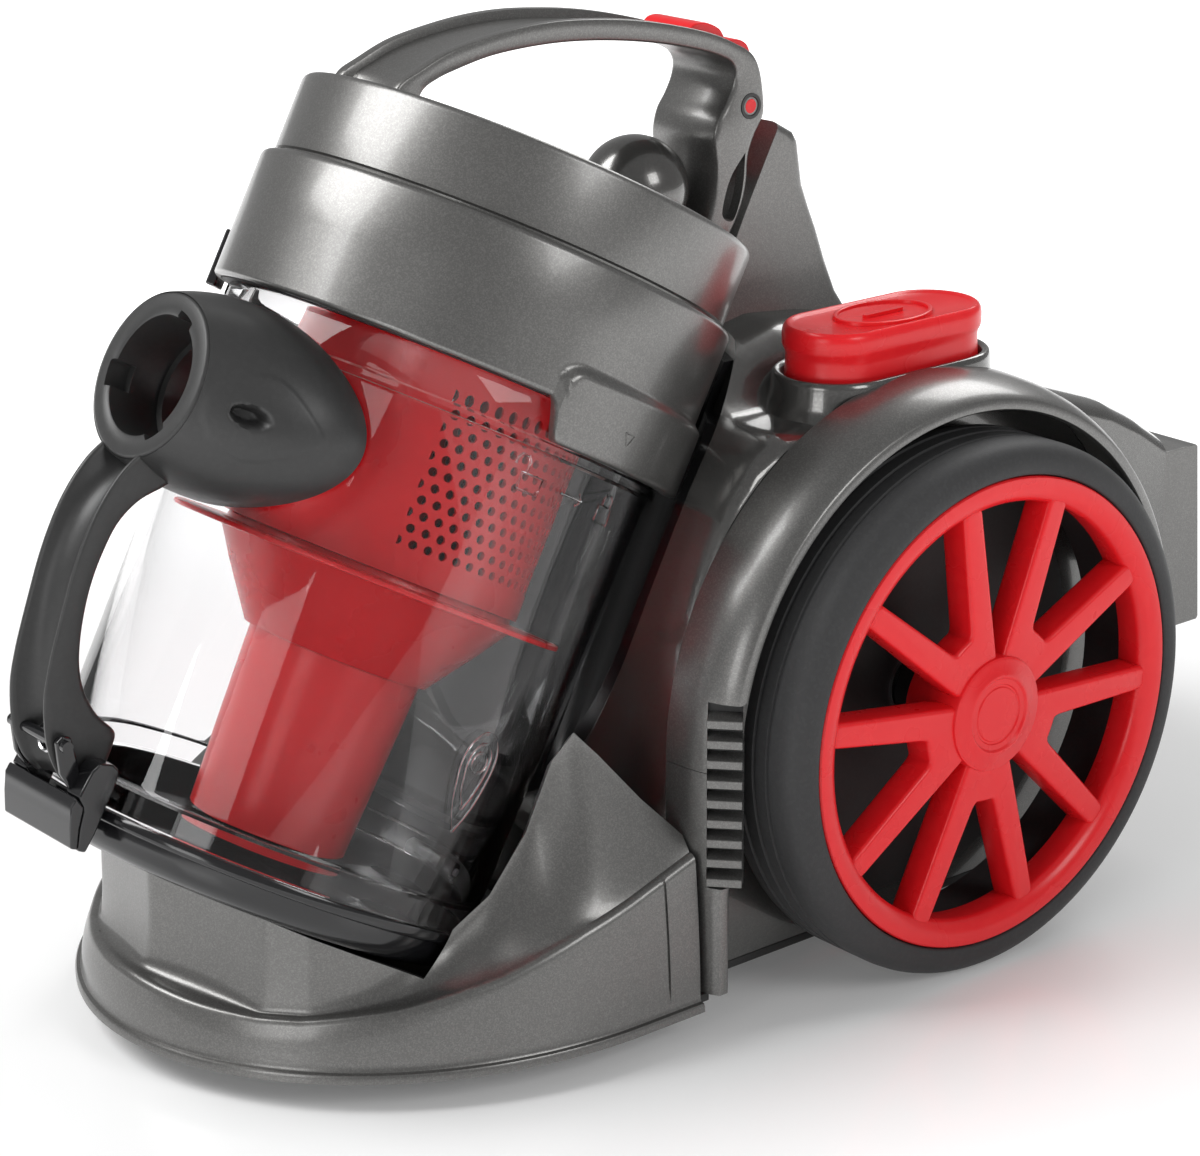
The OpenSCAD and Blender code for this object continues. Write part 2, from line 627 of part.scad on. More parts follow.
function arch_top() = [[-74, 245.2], [-72, 251.5], [-58.6, 266], [-43, 280], [-23, 294], [-8, 302],
                       [18, 310], [46, 315], [62, 315.6], [70, 311], [77, 301], [77, 286], [79.5, 264],
                       [77.5, 245.2]];
function arch_under() = [[-61, 245.2], [-61, 252], [-46.6, 268], [-26.4, 283], [-3, 293.8], [25, 299.5],
                         [43, 297], [54, 292.5], [57.5, 289], [60.5, 280], [66.5, 272.5], [70, 260], [70.5, 245.2]];
function arch_web() = [[-65, 245.2], [-65, 256], [-50, 272.5], [-29, 287.5], [-5, 298.5], [25, 304],
                        [38, 302], [56, 296.5], [62, 290], [64.5, 281], [70, 273], [73.5, 260], [74, 245.2]];
function post_cheek() = [[50, 305], [56, 314], [62, 315.6], [70, 311], [77, 301], [77, 286], [79.5, 264],
                         [77.5, 245.2], [70.5, 245.2], [70, 260], [66.5, 272.5], [60.5, 280], [57, 291]];
function turned(points) = [for (k = [len(points) - 1 : -1 : 0]) points[k]];

module lid_handle() color(grey) on_cup() difference() {
    union() {
        for (s = [-1, 1]) translate([s * 15 - 2, 0, 0]) slab_x(concat(arch_top(), turned(arch_under())), 0, 4);
        slab_x(concat(arch_web(), turned(arch_under())), -14, 14);
        for (s = [-1, 1]) translate([s * 19 - 2.1, 0, 0]) slab_x(post_cheek(), 0, 4.2);
    }
    ring(lid_top_r + 1, lid_top_r - 3.1, 240, lid_top_s + 0.1);
    translate([0, pin_y, pin_s]) rod_x(2, -30, 30);
}

module lid_dome() color(black) on_cup() difference() {
    translate([0, 48, 258]) sphere(r = 19);
    translate([-30, 0, 200]) cube([60, 100, 45.2]);
    translate([-30, 66, 240]) cube([60, 40, 60]);
}

module lid_clip() color(black) on_cup() rotate([0, 0, -52]) translate([-5, -88.2, 172]) cube([10, 3.6, 20]);

module release_button() color(red) on_cup() difference() {
    slab_x([[44, 306], [45, 316.5], [49, 319.5], [54, 319], [56, 316.8], [58, 316.8], [60, 318.6],
            [65, 317], [73, 308], [76.5, 300], [78, 290], [78, 266], [80.5, 263], [77, 260.5],
            [75.4, 268], [75, 292], [67, 296], [60, 303]], -12.6, 12.6);
    translate([0, pin_y, pin_s]) rod_x(2 + slip, -20, 20);
}

module release_pin() color(red) on_cup() translate([0, pin_y, pin_s]) rod_x(2, -21.4, 21.4);

// ---------------------------------------------------------------- cyclone

module cyclone_shroud() color(red) on_cup() difference() {
    translate([0, 0, 104]) cylinder(r = shroud_r, h = 70);
    translate([0, 0, 106]) cylinder(r = shroud_r - 3, h = 80);
    translate([0, 0, 100]) cylinder(r = 34, h = 20);
    for (k = [0 : hole_columns / 2 - 1], row = [0 : 5])
        rotate([0, 0, (k + (row % 2) / 2) * 360 / hole_columns + 60])
        translate([0, -shroud_r - 5, 120 + row * 9]) rotate([-90, 0, 0]) cylinder(r = 2, h = 12, $fn = 16);
}

module cyclone_skirt() color(red) on_cup() difference() {
    union() {
        translate([0, 0, 99.4]) cylinder(r = skirt_r, h = 2.2);
        translate([0, 0, 70]) cylinder(r1 = tube_r + 4, r2 = 52, h = 30);
        translate([0, 0, 101.5]) cylinder(r = 50, h = 2.4);
    }
    translate([0, 0, 69]) cylinder(r1 = tube_r + 1, r2 = 49.6, h = 31.5);
    translate([0, 0, 98]) cylinder(r = 33, h = 10);
}

module cyclone_tube() color(red) on_cup() difference() {
    translate([0, 0, 2.6]) cylinder(r1 = tube_r, r2 = tube_r + 2.5, h = 67.4);
    translate([0, 0, 2]) cylinder(r1 = tube_r - 2.5, r2 = tube_r, h = 71);
}

module intake_filter() color("white") on_cup() ring(70, 54, 180, 205);

base_pan();
front_shell();
rear_shell();
cradle();
spine_tower();
fender_left();
fender_right();
vent_left();
vent_right();
collar_left();
collar_right();
rear_dock();
skid_pads();
tyre_left();
tyre_right();
hubcap_left();
hubcap_right();
bush_left();
bush_right();
axle_left();
axle_right();
caster_fork();
caster_wheel();
caster_axle();
power_pedal();
rewind_pedal();
pedal_spring_left();
pedal_spring_right();
motor_can();
motor_cup();
motor_rotor();
motor_seal();
exhaust_filter();
circuit_board();
power_switch();
cable_reel();
reel_axle();
cable_gland();
cup();
inlet_horn();
inlet_seal();
cup_handle();
handle_screw();
flap_latch();
latch_pin();
bottom_flap();
flap_seal();
flap_hinge_pin();
lid_ring();
lid_cap();
lid_gasket();
lid_handle();
lid_dome();
lid_clip();
release_button();
release_pin();
cyclone_shroud();
cyclone_skirt();
cyclone_tube();
intake_filter();
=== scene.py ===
"""Canister vacuum cleaner with a clear cyclone cup, two spoked wheels and a front caster.

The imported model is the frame. Sizes in the classes are millimetres in the frame named by each
piece: the axle frame (origin on the floor under the wheel axle), the cup frame (z up the cup's
leaning axis) or a wheel frame (z out of the machine's side).
"""

import json
import logging
import math
from dataclasses import dataclass
from enum import Enum
from typing import Sequence

import bmesh
import bpy
from mathutils import Matrix, Vector


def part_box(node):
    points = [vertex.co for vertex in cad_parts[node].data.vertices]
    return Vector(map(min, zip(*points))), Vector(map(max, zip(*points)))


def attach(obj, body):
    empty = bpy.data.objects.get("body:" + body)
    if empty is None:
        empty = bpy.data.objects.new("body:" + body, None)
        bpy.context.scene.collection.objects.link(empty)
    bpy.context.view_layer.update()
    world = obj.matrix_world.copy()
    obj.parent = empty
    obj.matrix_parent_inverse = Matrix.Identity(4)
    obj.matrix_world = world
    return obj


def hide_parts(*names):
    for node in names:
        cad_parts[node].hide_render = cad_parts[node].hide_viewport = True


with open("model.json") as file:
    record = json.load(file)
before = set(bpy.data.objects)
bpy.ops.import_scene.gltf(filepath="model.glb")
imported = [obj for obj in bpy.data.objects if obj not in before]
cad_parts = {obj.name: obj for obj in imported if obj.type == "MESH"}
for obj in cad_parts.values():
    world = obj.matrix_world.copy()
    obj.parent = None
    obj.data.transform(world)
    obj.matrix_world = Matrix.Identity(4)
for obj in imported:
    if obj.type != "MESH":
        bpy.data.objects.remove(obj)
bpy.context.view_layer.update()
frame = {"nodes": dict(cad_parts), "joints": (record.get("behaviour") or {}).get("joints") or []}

LOG = logging.getLogger("vacuum_cleaner")
MM = 0.001
Pair = tuple[float, float]
Ring = list[Vector]
RGB = tuple[float, float, float]

# y and s of the latch's pin and of the flap's hinge (cup frame), x and y of a pedal (axle frame)
LATCH_PIN: Pair = (-100.0, 17.0)
FLAP_HINGE: Pair = (82.6, 4.0)
PEDAL: Pair = (72.0, 3.0)


# ------------------------------------------------------------------ choices

class Body(Enum):
    """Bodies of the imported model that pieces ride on."""

    CHASSIS = "chassis"
    DUST_CUP = "dust_cup"
    FLAP = "flap"
    LATCH = "latch"
    LID = "lid"
    RELEASE = "release"
    CASTER_YOKE = "caster_yoke"
    CASTER_ROLLER = "caster_roller"
    POWER_KEY = "power_key"
    REWIND_KEY = "rewind_key"
    WHEEL_LEFT = "wheel_left"
    WHEEL_RIGHT = "wheel_right"


class Slot(Enum):
    """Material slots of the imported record."""

    SHELL = "shell_grey"
    DARK = "dark_plastic"
    BLACK = "black_plastic"
    RED = "red_plastic"
    TYRE = "tyre_rubber"
    SEAL = "seal_rubber"
    STEEL = "steel"
    CLEAR = "clear_cup"
    FILTER = "filter_media"
    BOARD = "board_green"


class Side(Enum):
    """Side of the machine, as the sign of x."""

    LEFT = -1
    RIGHT = 1

    @property
    def word(self) -> str:
        """Returns the side's name in lower case."""
        return self.name.lower()


# ------------------------------------------------------------------ shader groups and finishes

class NodeDesk:
    """Adds and joins nodes in one node tree."""

    def __init__(self, tree: bpy.types.NodeTree) -> None:
        """Keeps the tree that nodes are added to."""
        self.tree = tree

    def add(self, kind: str, **settings: object) -> bpy.types.Node:
        """Adds a node.

        Args:
            kind: Blender's node type name.
            settings: attributes set on the new node.

        Returns:
            The new node.
        """
        node = self.tree.nodes.new(kind)
        for key, value in settings.items():
            setattr(node, key, value)
        return node

    def join(self, out: bpy.types.NodeSocket, into: bpy.types.NodeSocket) -> None:
        """Links an output socket to an input socket."""
        self.tree.links.new(out, into)

    def math(self, operation: str, first: object, second: object = 0.0) -> bpy.types.NodeSocket:
        """Adds a Math node whose two inputs are sockets or numbers.

        Args:
            operation: the node's operation.
            first: first input.
            second: second input.

        Returns:
            The node's output socket.
        """
        node = self.add("ShaderNodeMath", operation=operation)
        for slot, value in zip(node.inputs, (first, second)):
            if isinstance(value, bpy.types.NodeSocket):
                self.join(value, slot)
            else:
                slot.default_value = value
        return node.outputs[0]


class Effects:
    """Shader node groups that more than one material uses, each built once."""

    def __init__(self) -> None:
        """Builds the groups."""
        self.grain = self._grain()
        self.flake = self._flake()
        self.smudge = self._smudge()

    @staticmethod
    def _new(name: str, inputs: dict[str, str], outputs: dict[str, str]) -> tuple:
        """Makes an empty group with named sockets.

        Args:
            name: the group's name.
            inputs: socket name to socket type.
            outputs: socket name to socket type.

        Returns:
            The group, a desk for it, its input node and its output node.
        """
        group = bpy.data.node_groups.new(name, "ShaderNodeTree")
        for label, kind in inputs.items():
            group.interface.new_socket(label, in_out="INPUT", socket_type=kind)
        for label, kind in outputs.items():
            group.interface.new_socket(label, in_out="OUTPUT", socket_type=kind)
        desk = NodeDesk(group)
        return group, desk, desk.add("NodeGroupInput"), desk.add("NodeGroupOutput")

    def _grain(self) -> bpy.types.NodeTree:
        """Fine spark-eroded grain of moulded plastic, as a height.

        Returns:
            The group.
        """
        sockets = {"Vector": "NodeSocketVector", "Scale": "NodeSocketFloat", "Depth": "NodeSocketFloat"}
        group, desk, inside, out = self._new("Moulding grain", sockets, {"Height": "NodeSocketFloat"})
        fine = desk.add("ShaderNodeTexNoise")
        fine.inputs["Detail"].default_value = 3.0
        desk.join(inside.outputs["Vector"], fine.inputs["Vector"])
        desk.join(inside.outputs["Scale"], fine.inputs["Scale"])
        height = desk.math("MULTIPLY", fine.outputs["Fac"], inside.outputs["Depth"])
        desk.join(height, out.inputs["Height"])
        return group

    def _flake(self) -> bpy.types.NodeTree:
        """Metal flakes in a paint: a colour that changes from cell to cell.

        Returns:
            The group.
        """
        sockets = {"Vector": "NodeSocketVector", "Scale": "NodeSocketFloat", "Amount": "NodeSocketFloat",
                   "Ground": "NodeSocketColor", "Spark": "NodeSocketColor"}
        group, desk, inside, out = self._new("Metal flake", sockets, {"Color": "NodeSocketColor"})
        cells = desk.add("ShaderNodeTexVoronoi")
        desk.join(inside.outputs["Vector"], cells.inputs["Vector"])
        desk.join(inside.outputs["Scale"], cells.inputs["Scale"])
        split = desk.add("ShaderNodeSeparateColor")
        desk.join(cells.outputs["Color"], split.inputs["Color"])
        sharp = desk.math("POWER", split.outputs["Red"], 2.2)
        mask = desk.math("MULTIPLY", sharp, inside.outputs["Amount"])
        mix = desk.add("ShaderNodeMix", data_type="RGBA")
        desk.join(mask, mix.inputs["Factor"])
        desk.join(inside.outputs["Ground"], mix.inputs["A"])
        desk.join(inside.outputs["Spark"], mix.inputs["B"])
        desk.join(mix.outputs["Result"], out.inputs["Color"])
        return group

    def _smudge(self) -> bpy.types.NodeTree:
        """Slow change over a surface, from handling and moulding, between two values.

        Returns:
            The group.
        """
        sockets = {"Vector": "NodeSocketVector", "Scale": "NodeSocketFloat",
                   "Low": "NodeSocketFloat", "High": "NodeSocketFloat"}
        group, desk, inside, out = self._new("Handling marks", sockets, {"Value": "NodeSocketFloat"})
        slow = desk.add("ShaderNodeTexNoise")
        slow.inputs["Detail"].default_value = 4.0
        slow.inputs["Roughness"].default_value = 0.6
        desk.join(inside.outputs["Vector"], slow.inputs["Vector"])
        desk.join(inside.outputs["Scale"], slow.inputs["Scale"])
        spread = desk.add("ShaderNodeMapRange")
        spread.inputs["From Min"].default_value = 0.3
        spread.inputs["From Max"].default_value = 0.7
        desk.join(slow.outputs["Fac"], spread.inputs["Value"])
        desk.join(inside.outputs["Low"], spread.inputs["To Min"])
        desk.join(inside.outputs["High"], spread.inputs["To Max"])
        desk.join(spread.outputs["Result"], out.inputs["Value"])
        return group


@dataclass(frozen=True)
class Finish:
    """How one kind of surface looks. Scales are cells per metre, depths are metres."""

    label: str
    slot: Slot
    ground: RGB
    spark: RGB
    rough: Pair
    metallic: float = 0.0
    flake_scale: float = 900.0
    flake_amount: float = 0.25
    grain_scale: float = 1400.0
    grain_depth: float = 0.00002
    coat: float = 0.0
    coat_rough: float = 0.1
    specular: float = 0.5
    transmission: float = 0.0
    ior: float = 1.5
    subsurface: float = 0.0

    def build(self, effects: Effects) -> bpy.types.Material:
        """Makes the material from the shared groups.

        Args:
            effects: the shared shader groups.

        Returns:
            The material.
        """
        material = bpy.data.materials.new(self.label)
        material.use_nodes = True
        desk = NodeDesk(material.node_tree)
        shader = material.node_tree.nodes["Principled BSDF"]
        where = desk.add("ShaderNodeTexCoord").outputs["Object"]
        self._colour(desk, effects, shader, where)
        marks = desk.add("ShaderNodeGroup", node_tree=effects.smudge)
        marks.inputs["Scale"].default_value = 22.0
        marks.inputs["Low"].default_value, marks.inputs["High"].default_value = self.rough
        desk.join(where, marks.inputs["Vector"])
        desk.join(marks.outputs["Value"], shader.inputs["Roughness"])
        grain = desk.add("ShaderNodeGroup", node_tree=effects.grain)
        grain.inputs["Scale"].default_value = self.grain_scale
        grain.inputs["Depth"].default_value = self.grain_depth
        desk.join(where, grain.inputs["Vector"])
        bump = desk.add("ShaderNodeBump")
        bump.inputs["Distance"].default_value = 1.0
        desk.join(grain.outputs["Height"], bump.inputs["Height"])
        desk.join(bump.outputs["Normal"], shader.inputs["Normal"])
        for socket, value in (("Metallic", self.metallic), ("Coat Weight", self.coat),
                              ("Coat Roughness", self.coat_rough), ("IOR", self.ior),
                              ("Specular IOR Level", self.specular),
                              ("Transmission Weight", self.transmission),
                              ("Subsurface Weight", self.subsurface)):
            shader.inputs[socket].default_value = value
        return material

    def _colour(self, desk: NodeDesk, effects: Effects, shader: bpy.types.Node,
                where: bpy.types.NodeSocket) -> None:
        """Feeds the base colour from the flake group.

        Args:
            desk: the material's desk.
            effects: the shared shader groups.
            shader: the Principled shader.
            where: the object coordinates.
        """
        flake = desk.add("ShaderNodeGroup", node_tree=effects.flake)
        flake.inputs["Scale"].default_value = self.flake_scale
        flake.inputs["Amount"].default_value = self.flake_amount
        flake.inputs["Ground"].default_value = (*self.ground, 1.0)
        flake.inputs["Spark"].default_value = (*self.spark, 1.0)
        desk.join(where, flake.inputs["Vector"])
        desk.join(flake.outputs["Color"], shader.inputs["Base Color"])


class Finishes(Enum):
    """Every finish on the machine."""

    SHELL = Finish("Metallic grey paint", Slot.SHELL, (0.15, 0.148, 0.143), (0.29, 0.286, 0.279),
                   (0.3, 0.36), metallic=0.75, flake_scale=2600.0, flake_amount=0.42,
                   grain_scale=1500.0, grain_depth=0.000008, coat=0.4, coat_rough=0.12)
    SHELL_GLOSS = Finish("Metallic grey paint polished", Slot.SHELL, (0.11, 0.108, 0.104),
                         (0.24, 0.236, 0.228), (0.2, 0.26), metallic=0.7, flake_scale=2600.0,
                         flake_amount=0.4, grain_depth=0.000004, coat=0.8, coat_rough=0.05)
    DARK = Finish("Dark satin plastic", Slot.DARK, (0.026, 0.026, 0.026), (0.045, 0.045, 0.045),
                  (0.38, 0.46), flake_scale=700.0, flake_amount=0.2, grain_scale=2600.0,
                  grain_depth=0.00004)
    BLACK = Finish("Black gloss plastic", Slot.BLACK, (0.008, 0.008, 0.009), (0.014, 0.014, 0.015),
                   (0.12, 0.2), flake_scale=400.0, grain_depth=0.000006, coat=0.3)
    RED = Finish("Red gloss plastic", Slot.RED, (0.80, 0.012, 0.018), (0.86, 0.03, 0.03),
                 (0.24, 0.32), flake_scale=300.0, flake_amount=0.2, grain_scale=1200.0,
                 grain_depth=0.00001, subsurface=0.06, specular=0.4)
    TYRE = Finish("Tyre rubber", Slot.TYRE, (0.034, 0.034, 0.035), (0.055, 0.055, 0.056),
                  (0.52, 0.64), flake_scale=900.0, flake_amount=0.3, grain_scale=2200.0,
                  grain_depth=0.00008, specular=0.35)
    SEAL = Finish("Seal rubber", Slot.SEAL, (0.016, 0.016, 0.016), (0.03, 0.03, 0.03),
                  (0.5, 0.6), grain_depth=0.00003)
    STEEL = Finish("Bright steel", Slot.STEEL, (0.55, 0.55, 0.56), (0.7, 0.7, 0.7),
                   (0.2, 0.32), metallic=1.0, flake_scale=500.0, grain_depth=0.000006)
    CLEAR = Finish("Clear cup plastic", Slot.CLEAR, (0.985, 0.985, 0.99), (1.0, 1.0, 1.0),
                   (0.0, 0.03), flake_scale=40.0, flake_amount=0.2, grain_scale=60.0,
                   grain_depth=0.00002, transmission=1.0, ior=1.4)
    FILTER = Finish("Filter media", Slot.FILTER, (0.62, 0.6, 0.55), (0.75, 0.74, 0.7),
                    (0.8, 0.95), flake_scale=1200.0, flake_amount=0.6, grain_scale=900.0,
                    grain_depth=0.0004, specular=0.2)
    BOARD = Finish("Board lacquer", Slot.BOARD, (0.01, 0.09, 0.03), (0.02, 0.16, 0.05),
                   (0.3, 0.4), flake_scale=500.0)

    def material(self) -> bpy.types.Material:
        """Returns the finish's one material, made by Workshop."""
        return Workshop.materials[self]


# ------------------------------------------------------------------ outlines and meshes

def spline(points: Sequence[Sequence[float]], count: int) -> list[Vector]:
    """Runs a smooth curve through points, evenly in the points' own index.

    Args:
        points: points of any dimension up to three.
        count: how many points to return.

    Returns:
        Points on the curve, the first and last as given.
    """
    knots = [Vector(p) for p in points]
    knots = [knots[0] * 2 - knots[1], *knots, knots[-1] * 2 - knots[-2]]
    spans = len(knots) - 3
    found = []
    for k in range(count):
        at = k / (count - 1) * spans
        i = min(int(at), spans - 1)
        t = at - i
        a, b, c, d = knots[i:i + 4]
        found.append(0.5 * (b * 2 + (c - a) * t + (a * 2 - b * 5 + c * 4 - d) * t ** 2
                            + (b * 3 - a - c * 3 + d) * t ** 3))
    return found


def softened(points: Sequence[Pair], radius: float, steps: int = 4) -> list[Pair]:
    """Rounds the corners of a closed outline.

    Args:
        points: the outline's corners.
        radius: how far from each corner the rounding starts.
        steps: straight pieces in each rounding.

    Returns:
        The rounded outline.
    """
    outline: list[Pair] = []
    corners = [Vector(p) for p in points]
    for k, here in enumerate(corners):
        before, after = corners[k - 1], corners[(k + 1) % len(corners)]
        back = min(radius, 0.45 * (before - here).length)
        ahead = min(radius, 0.45 * (after - here).length)
        start = here + (before - here).normalized() * back
        end = here + (after - here).normalized() * ahead
        for step in range(steps + 1):
            t = step / steps
            spot = start * (1 - t) ** 2 + here * 2 * t * (1 - t) + end * t ** 2
            outline.append((spot.x, spot.y))
    return outline


def polar(radius: float, degrees: float) -> Pair:
    """Returns the flat point at a radius and an angle."""
    return (radius * math.cos(math.radians(degrees)), radius * math.sin(math.radians(degrees)))


def mirrored(points: Sequence[Vector]) -> Ring:
    """Returns points mirrored across the machine's middle plane."""
    return [Vector((-p.x, p.y, p.z)) for p in points]


def about_x(place: Sequence[float]) -> Matrix:
    """Returns a frame at a place whose z runs along +x, for pins and barrels."""
    return Matrix.Translation(place) @ Matrix.Rotation(math.pi / 2, 4, "Y")


def smooth_step(value: float, low: float, high: float) -> float:
    """Eases from 0 at low to 1 at high.

    Args:
        value: where to look.
        low: value at which the result is 0.
        high: value at which the result is 1.

    Returns:
        A share from 0 to 1.
    """
    t = min(1.0, max(0.0, (value - low) / (high - low)))
    return t * t * (3 - 2 * t)


def table(rows: Sequence[Sequence[float]], at: float) -> list[float]:
    """Reads a table between its rows, with straight lines from row to row.

    Args:
        rows: rows whose first number is the key, in rising order.
        at: the key to look up.

    Returns:
        The other numbers of the row.
    """
    if at <= rows[0][0]:
        return list(rows[0][1:])
    for low, high in zip(rows, rows[1:]):
        if at <= high[0]:
            t = (at - low[0]) / (high[0] - low[0])
            return [a + (b - a) * t for a, b in zip(low[1:], high[1:])]
    return list(rows[-1][1:])


def stadium(length: float, width: float, z: float, steps: int = 20) -> Ring:
    """Makes a level ring in the shape of a stadium that is long along y.

    Args:
        length: overall length.
        width: overall width.
        z: height of the ring.
        steps: straight pieces in each round end.

    Returns:
        The ring.
    """
    radius, run = width / 2, (length - width) / 2
    ring = []
    for end in (1, -1):
        for k in range(steps + 1):
            a = math.pi * k / steps + (0 if end > 0 else math.pi)
            ring.append(Vector((radius * math.cos(a), run * end + radius * math.sin(a), z)))
    return ring


class Solid:
    """A closed mesh under construction, in millimetres of its own frame."""

    def __init__(self) -> None:
        """Starts empty."""
        self.bm = bmesh.new()

    def skin(self, rings: Sequence[Ring], loop: bool = False) -> "Solid":
        """Joins closed rings one after another.

        Args:
            rings: rings of equal length.
            loop: joins the last ring to the first, in place of closing both ends.

        Returns:
            Itself.
        """
        rows = [[self.bm.verts.new(p) for p in ring] for ring in rings]
        pairs = list(zip(rows, rows[1:])) + ([(rows[-1], rows[0])] if loop else [])
        for low, high in pairs:
            for k in range(len(low)):
                n = (k + 1) % len(low)
                self.bm.faces.new((low[k], low[n], high[n], high[k]))
        if not loop:
            self.bm.faces.new(rows[0][::-1])
            self.bm.faces.new(rows[-1])
        return self

    def revolve(self, profile: Sequence[Pair], steps: int = 128, start: float = 0.0,
                sweep: float = 360.0) -> "Solid":
        """Turns a closed profile about z.

        Args:
            profile: (radius, z) points of a closed outline.
            steps: pieces in the whole sweep.
            start: first angle, in degrees.
            sweep: swept angle, in degrees.

        Returns:
            Itself.
        """
        whole = sweep >= 360.0
        rings = []
        for k in range(steps if whole else steps + 1):
            a = math.radians(start + sweep * k / steps)
            rings.append([Vector((r * math.cos(a), r * math.sin(a), z)) for r, z in profile])
        return self.skin(rings, loop=whole)

    def slab(self, outline: Sequence[Pair], x0: float, x1: float) -> "Solid":
        """Thickens a (y, z) outline from x0 to x1.

        Args:
            outline: corners of a closed outline.
            x0: one face.
            x1: the other face.

        Returns:
            Itself.
        """
        return self.skin([[Vector((x, y, z)) for y, z in outline] for x in (x0, x1)])

    def block(self, x0: float, x1: float, y0: float, y1: float, z0: float, z1: float) -> "Solid":
        """Adds a plain block between two corners, to cut or build with, and returns itself."""
        base = ((x0, y0), (x1, y0), (x1, y1), (x0, y1))
        return self.skin([[Vector((x, y, z)) for x, y in base] for z in (z0, z1)])

    def tube(self, path: Sequence[Vector], radius: float, sides: int = 8) -> "Solid":
        """Runs a round rod along a path.

        Args:
            path: points of the middle line.
            radius: the rod's radius.
            sides: sides of its section.

        Returns:
            Itself.
        """
        rings = []
        normal = (path[1] - path[0]).orthogonal().normalized()
        for k, spot in enumerate(path):
            along = (path[min(k + 1, len(path) - 1)] - path[max(k - 1, 0)]).normalized()
            normal = (normal - along * normal.dot(along)).normalized()
            across = along.cross(normal)
            rings.append([spot + (normal * math.cos(t) + across * math.sin(t)) * radius
                          for t in (2 * math.pi * s / sides for s in range(sides))])
        return self.skin(rings)

    def plate(self, outlines: Sequence[Sequence[Pair]], thick: float, bevel: float,
              steps: int = 3) -> "Solid":
        """Thickens (x, y) outlines, holes among them, from z = 0, with rounded edges.

        Args:
            outlines: closed outlines.
            thick: thickness.
            bevel: radius of the edges.
            steps: pieces in each rounded edge.

        Returns:
            Itself.
        """
        curve = bpy.data.curves.new("outline", "CURVE")
        curve.dimensions, curve.fill_mode = "2D", "BOTH"
        for outline in outlines:
            line = curve.splines.new("POLY")
            line.points.add(len(outline) - 1)
            line.use_cyclic_u = True
            for spot, (x, y) in zip(line.points, outline):
                spot.co = (x, y, 0, 1)
        curve.extrude, curve.bevel_depth = thick / 2 - bevel, bevel
        curve.bevel_resolution, curve.offset = steps, -bevel
        holder = bpy.data.objects.new("outline", curve)
        bpy.context.scene.collection.objects.link(holder)
        bpy.context.view_layer.update()
        mesh = bpy.data.meshes.new_from_object(holder.evaluated_get(bpy.context.evaluated_depsgraph_get()))
        mesh.transform(Matrix.Translation((0, 0, thick / 2)))
        self.bm.from_mesh(mesh)
        bpy.data.objects.remove(holder)
        bpy.data.meshes.remove(mesh)
        bmesh.ops.remove_doubles(self.bm, verts=self.bm.verts, dist=0.002)
        return self

    def moved(self, matrix: Matrix) -> "Solid":
        """Moves everything made so far and returns itself."""
        bmesh.ops.transform(self.bm, matrix=matrix, verts=self.bm.verts)
        return self

    def include(self, other: "Solid") -> "Solid":
        """Adds another solid's mesh to this one.

        Args:
            other: the solid to add.

        Returns:
            Itself.
        """
        mesh = other.mesh("joined")
        self.bm.from_mesh(mesh)
        bpy.data.meshes.remove(mesh)
        return self

    def mesh(self, name: str) -> bpy.types.Mesh:
        """Closes the mesh and turns its faces outwards.

        Args:
            name: name of the new mesh.

        Returns:
            The mesh, in the solid's own frame and units.
        """
        bmesh.ops.remove_doubles(self.bm, verts=self.bm.verts, dist=0.001)
        bmesh.ops.dissolve_degenerate(self.bm, edges=self.bm.edges, dist=0.0005)
        bmesh.ops.recalc_face_normals(self.bm, faces=self.bm.faces)
        made = bpy.data.meshes.new(name)
        self.bm.to_mesh(made)
        return made

    def cut(self, tool: "Solid") -> "Solid":
        """Takes the tool's space away from this solid.

        Args:
            tool: the solid to cut with.

        Returns:
            Itself.
        """
        pair = []
        for solid in (self, tool):
            holder = bpy.data.objects.new("cutting", solid.mesh("cutting"))
            bpy.context.scene.collection.objects.link(holder)
            pair.append(holder)
        modifier = pair[0].modifiers.new("cut", "BOOLEAN")
        modifier.object, modifier.operation, modifier.solver = pair[1], "DIFFERENCE", "EXACT"
        result = Workshop.evaluated(pair[0])
        self.bm.clear()
        self.bm.from_mesh(result)
        for holder in pair:
            bpy.data.objects.remove(holder)
        bpy.data.meshes.remove(result)
        return self


def pedal_place(side: Side) -> Matrix:
    """Returns the middle of a side's pedal, on the floor (axle frame)."""
    return Matrix.Translation((side.value * PEDAL[0], PEDAL[1], 0))


def from_node(*names: str) -> Solid:
    """Copies CAD nodes, merges their loose triangles and joins their flat faces.

    Args:
        names: CAD nodes.

    Returns:
        The copy, in millimetres of the row frame.
    """
    solid = Solid()
    for name in names:
        solid.bm.from_mesh(frame["nodes"][name].data)
    solid.moved(Matrix.Scale(1 / MM, 4))
    bmesh.ops.remove_doubles(solid.bm, verts=solid.bm.verts, dist=0.01)
    bmesh.ops.dissolve_limit(solid.bm, angle_limit=math.radians(0.6), verts=solid.bm.verts,
                             edges=solid.bm.edges)
    return solid


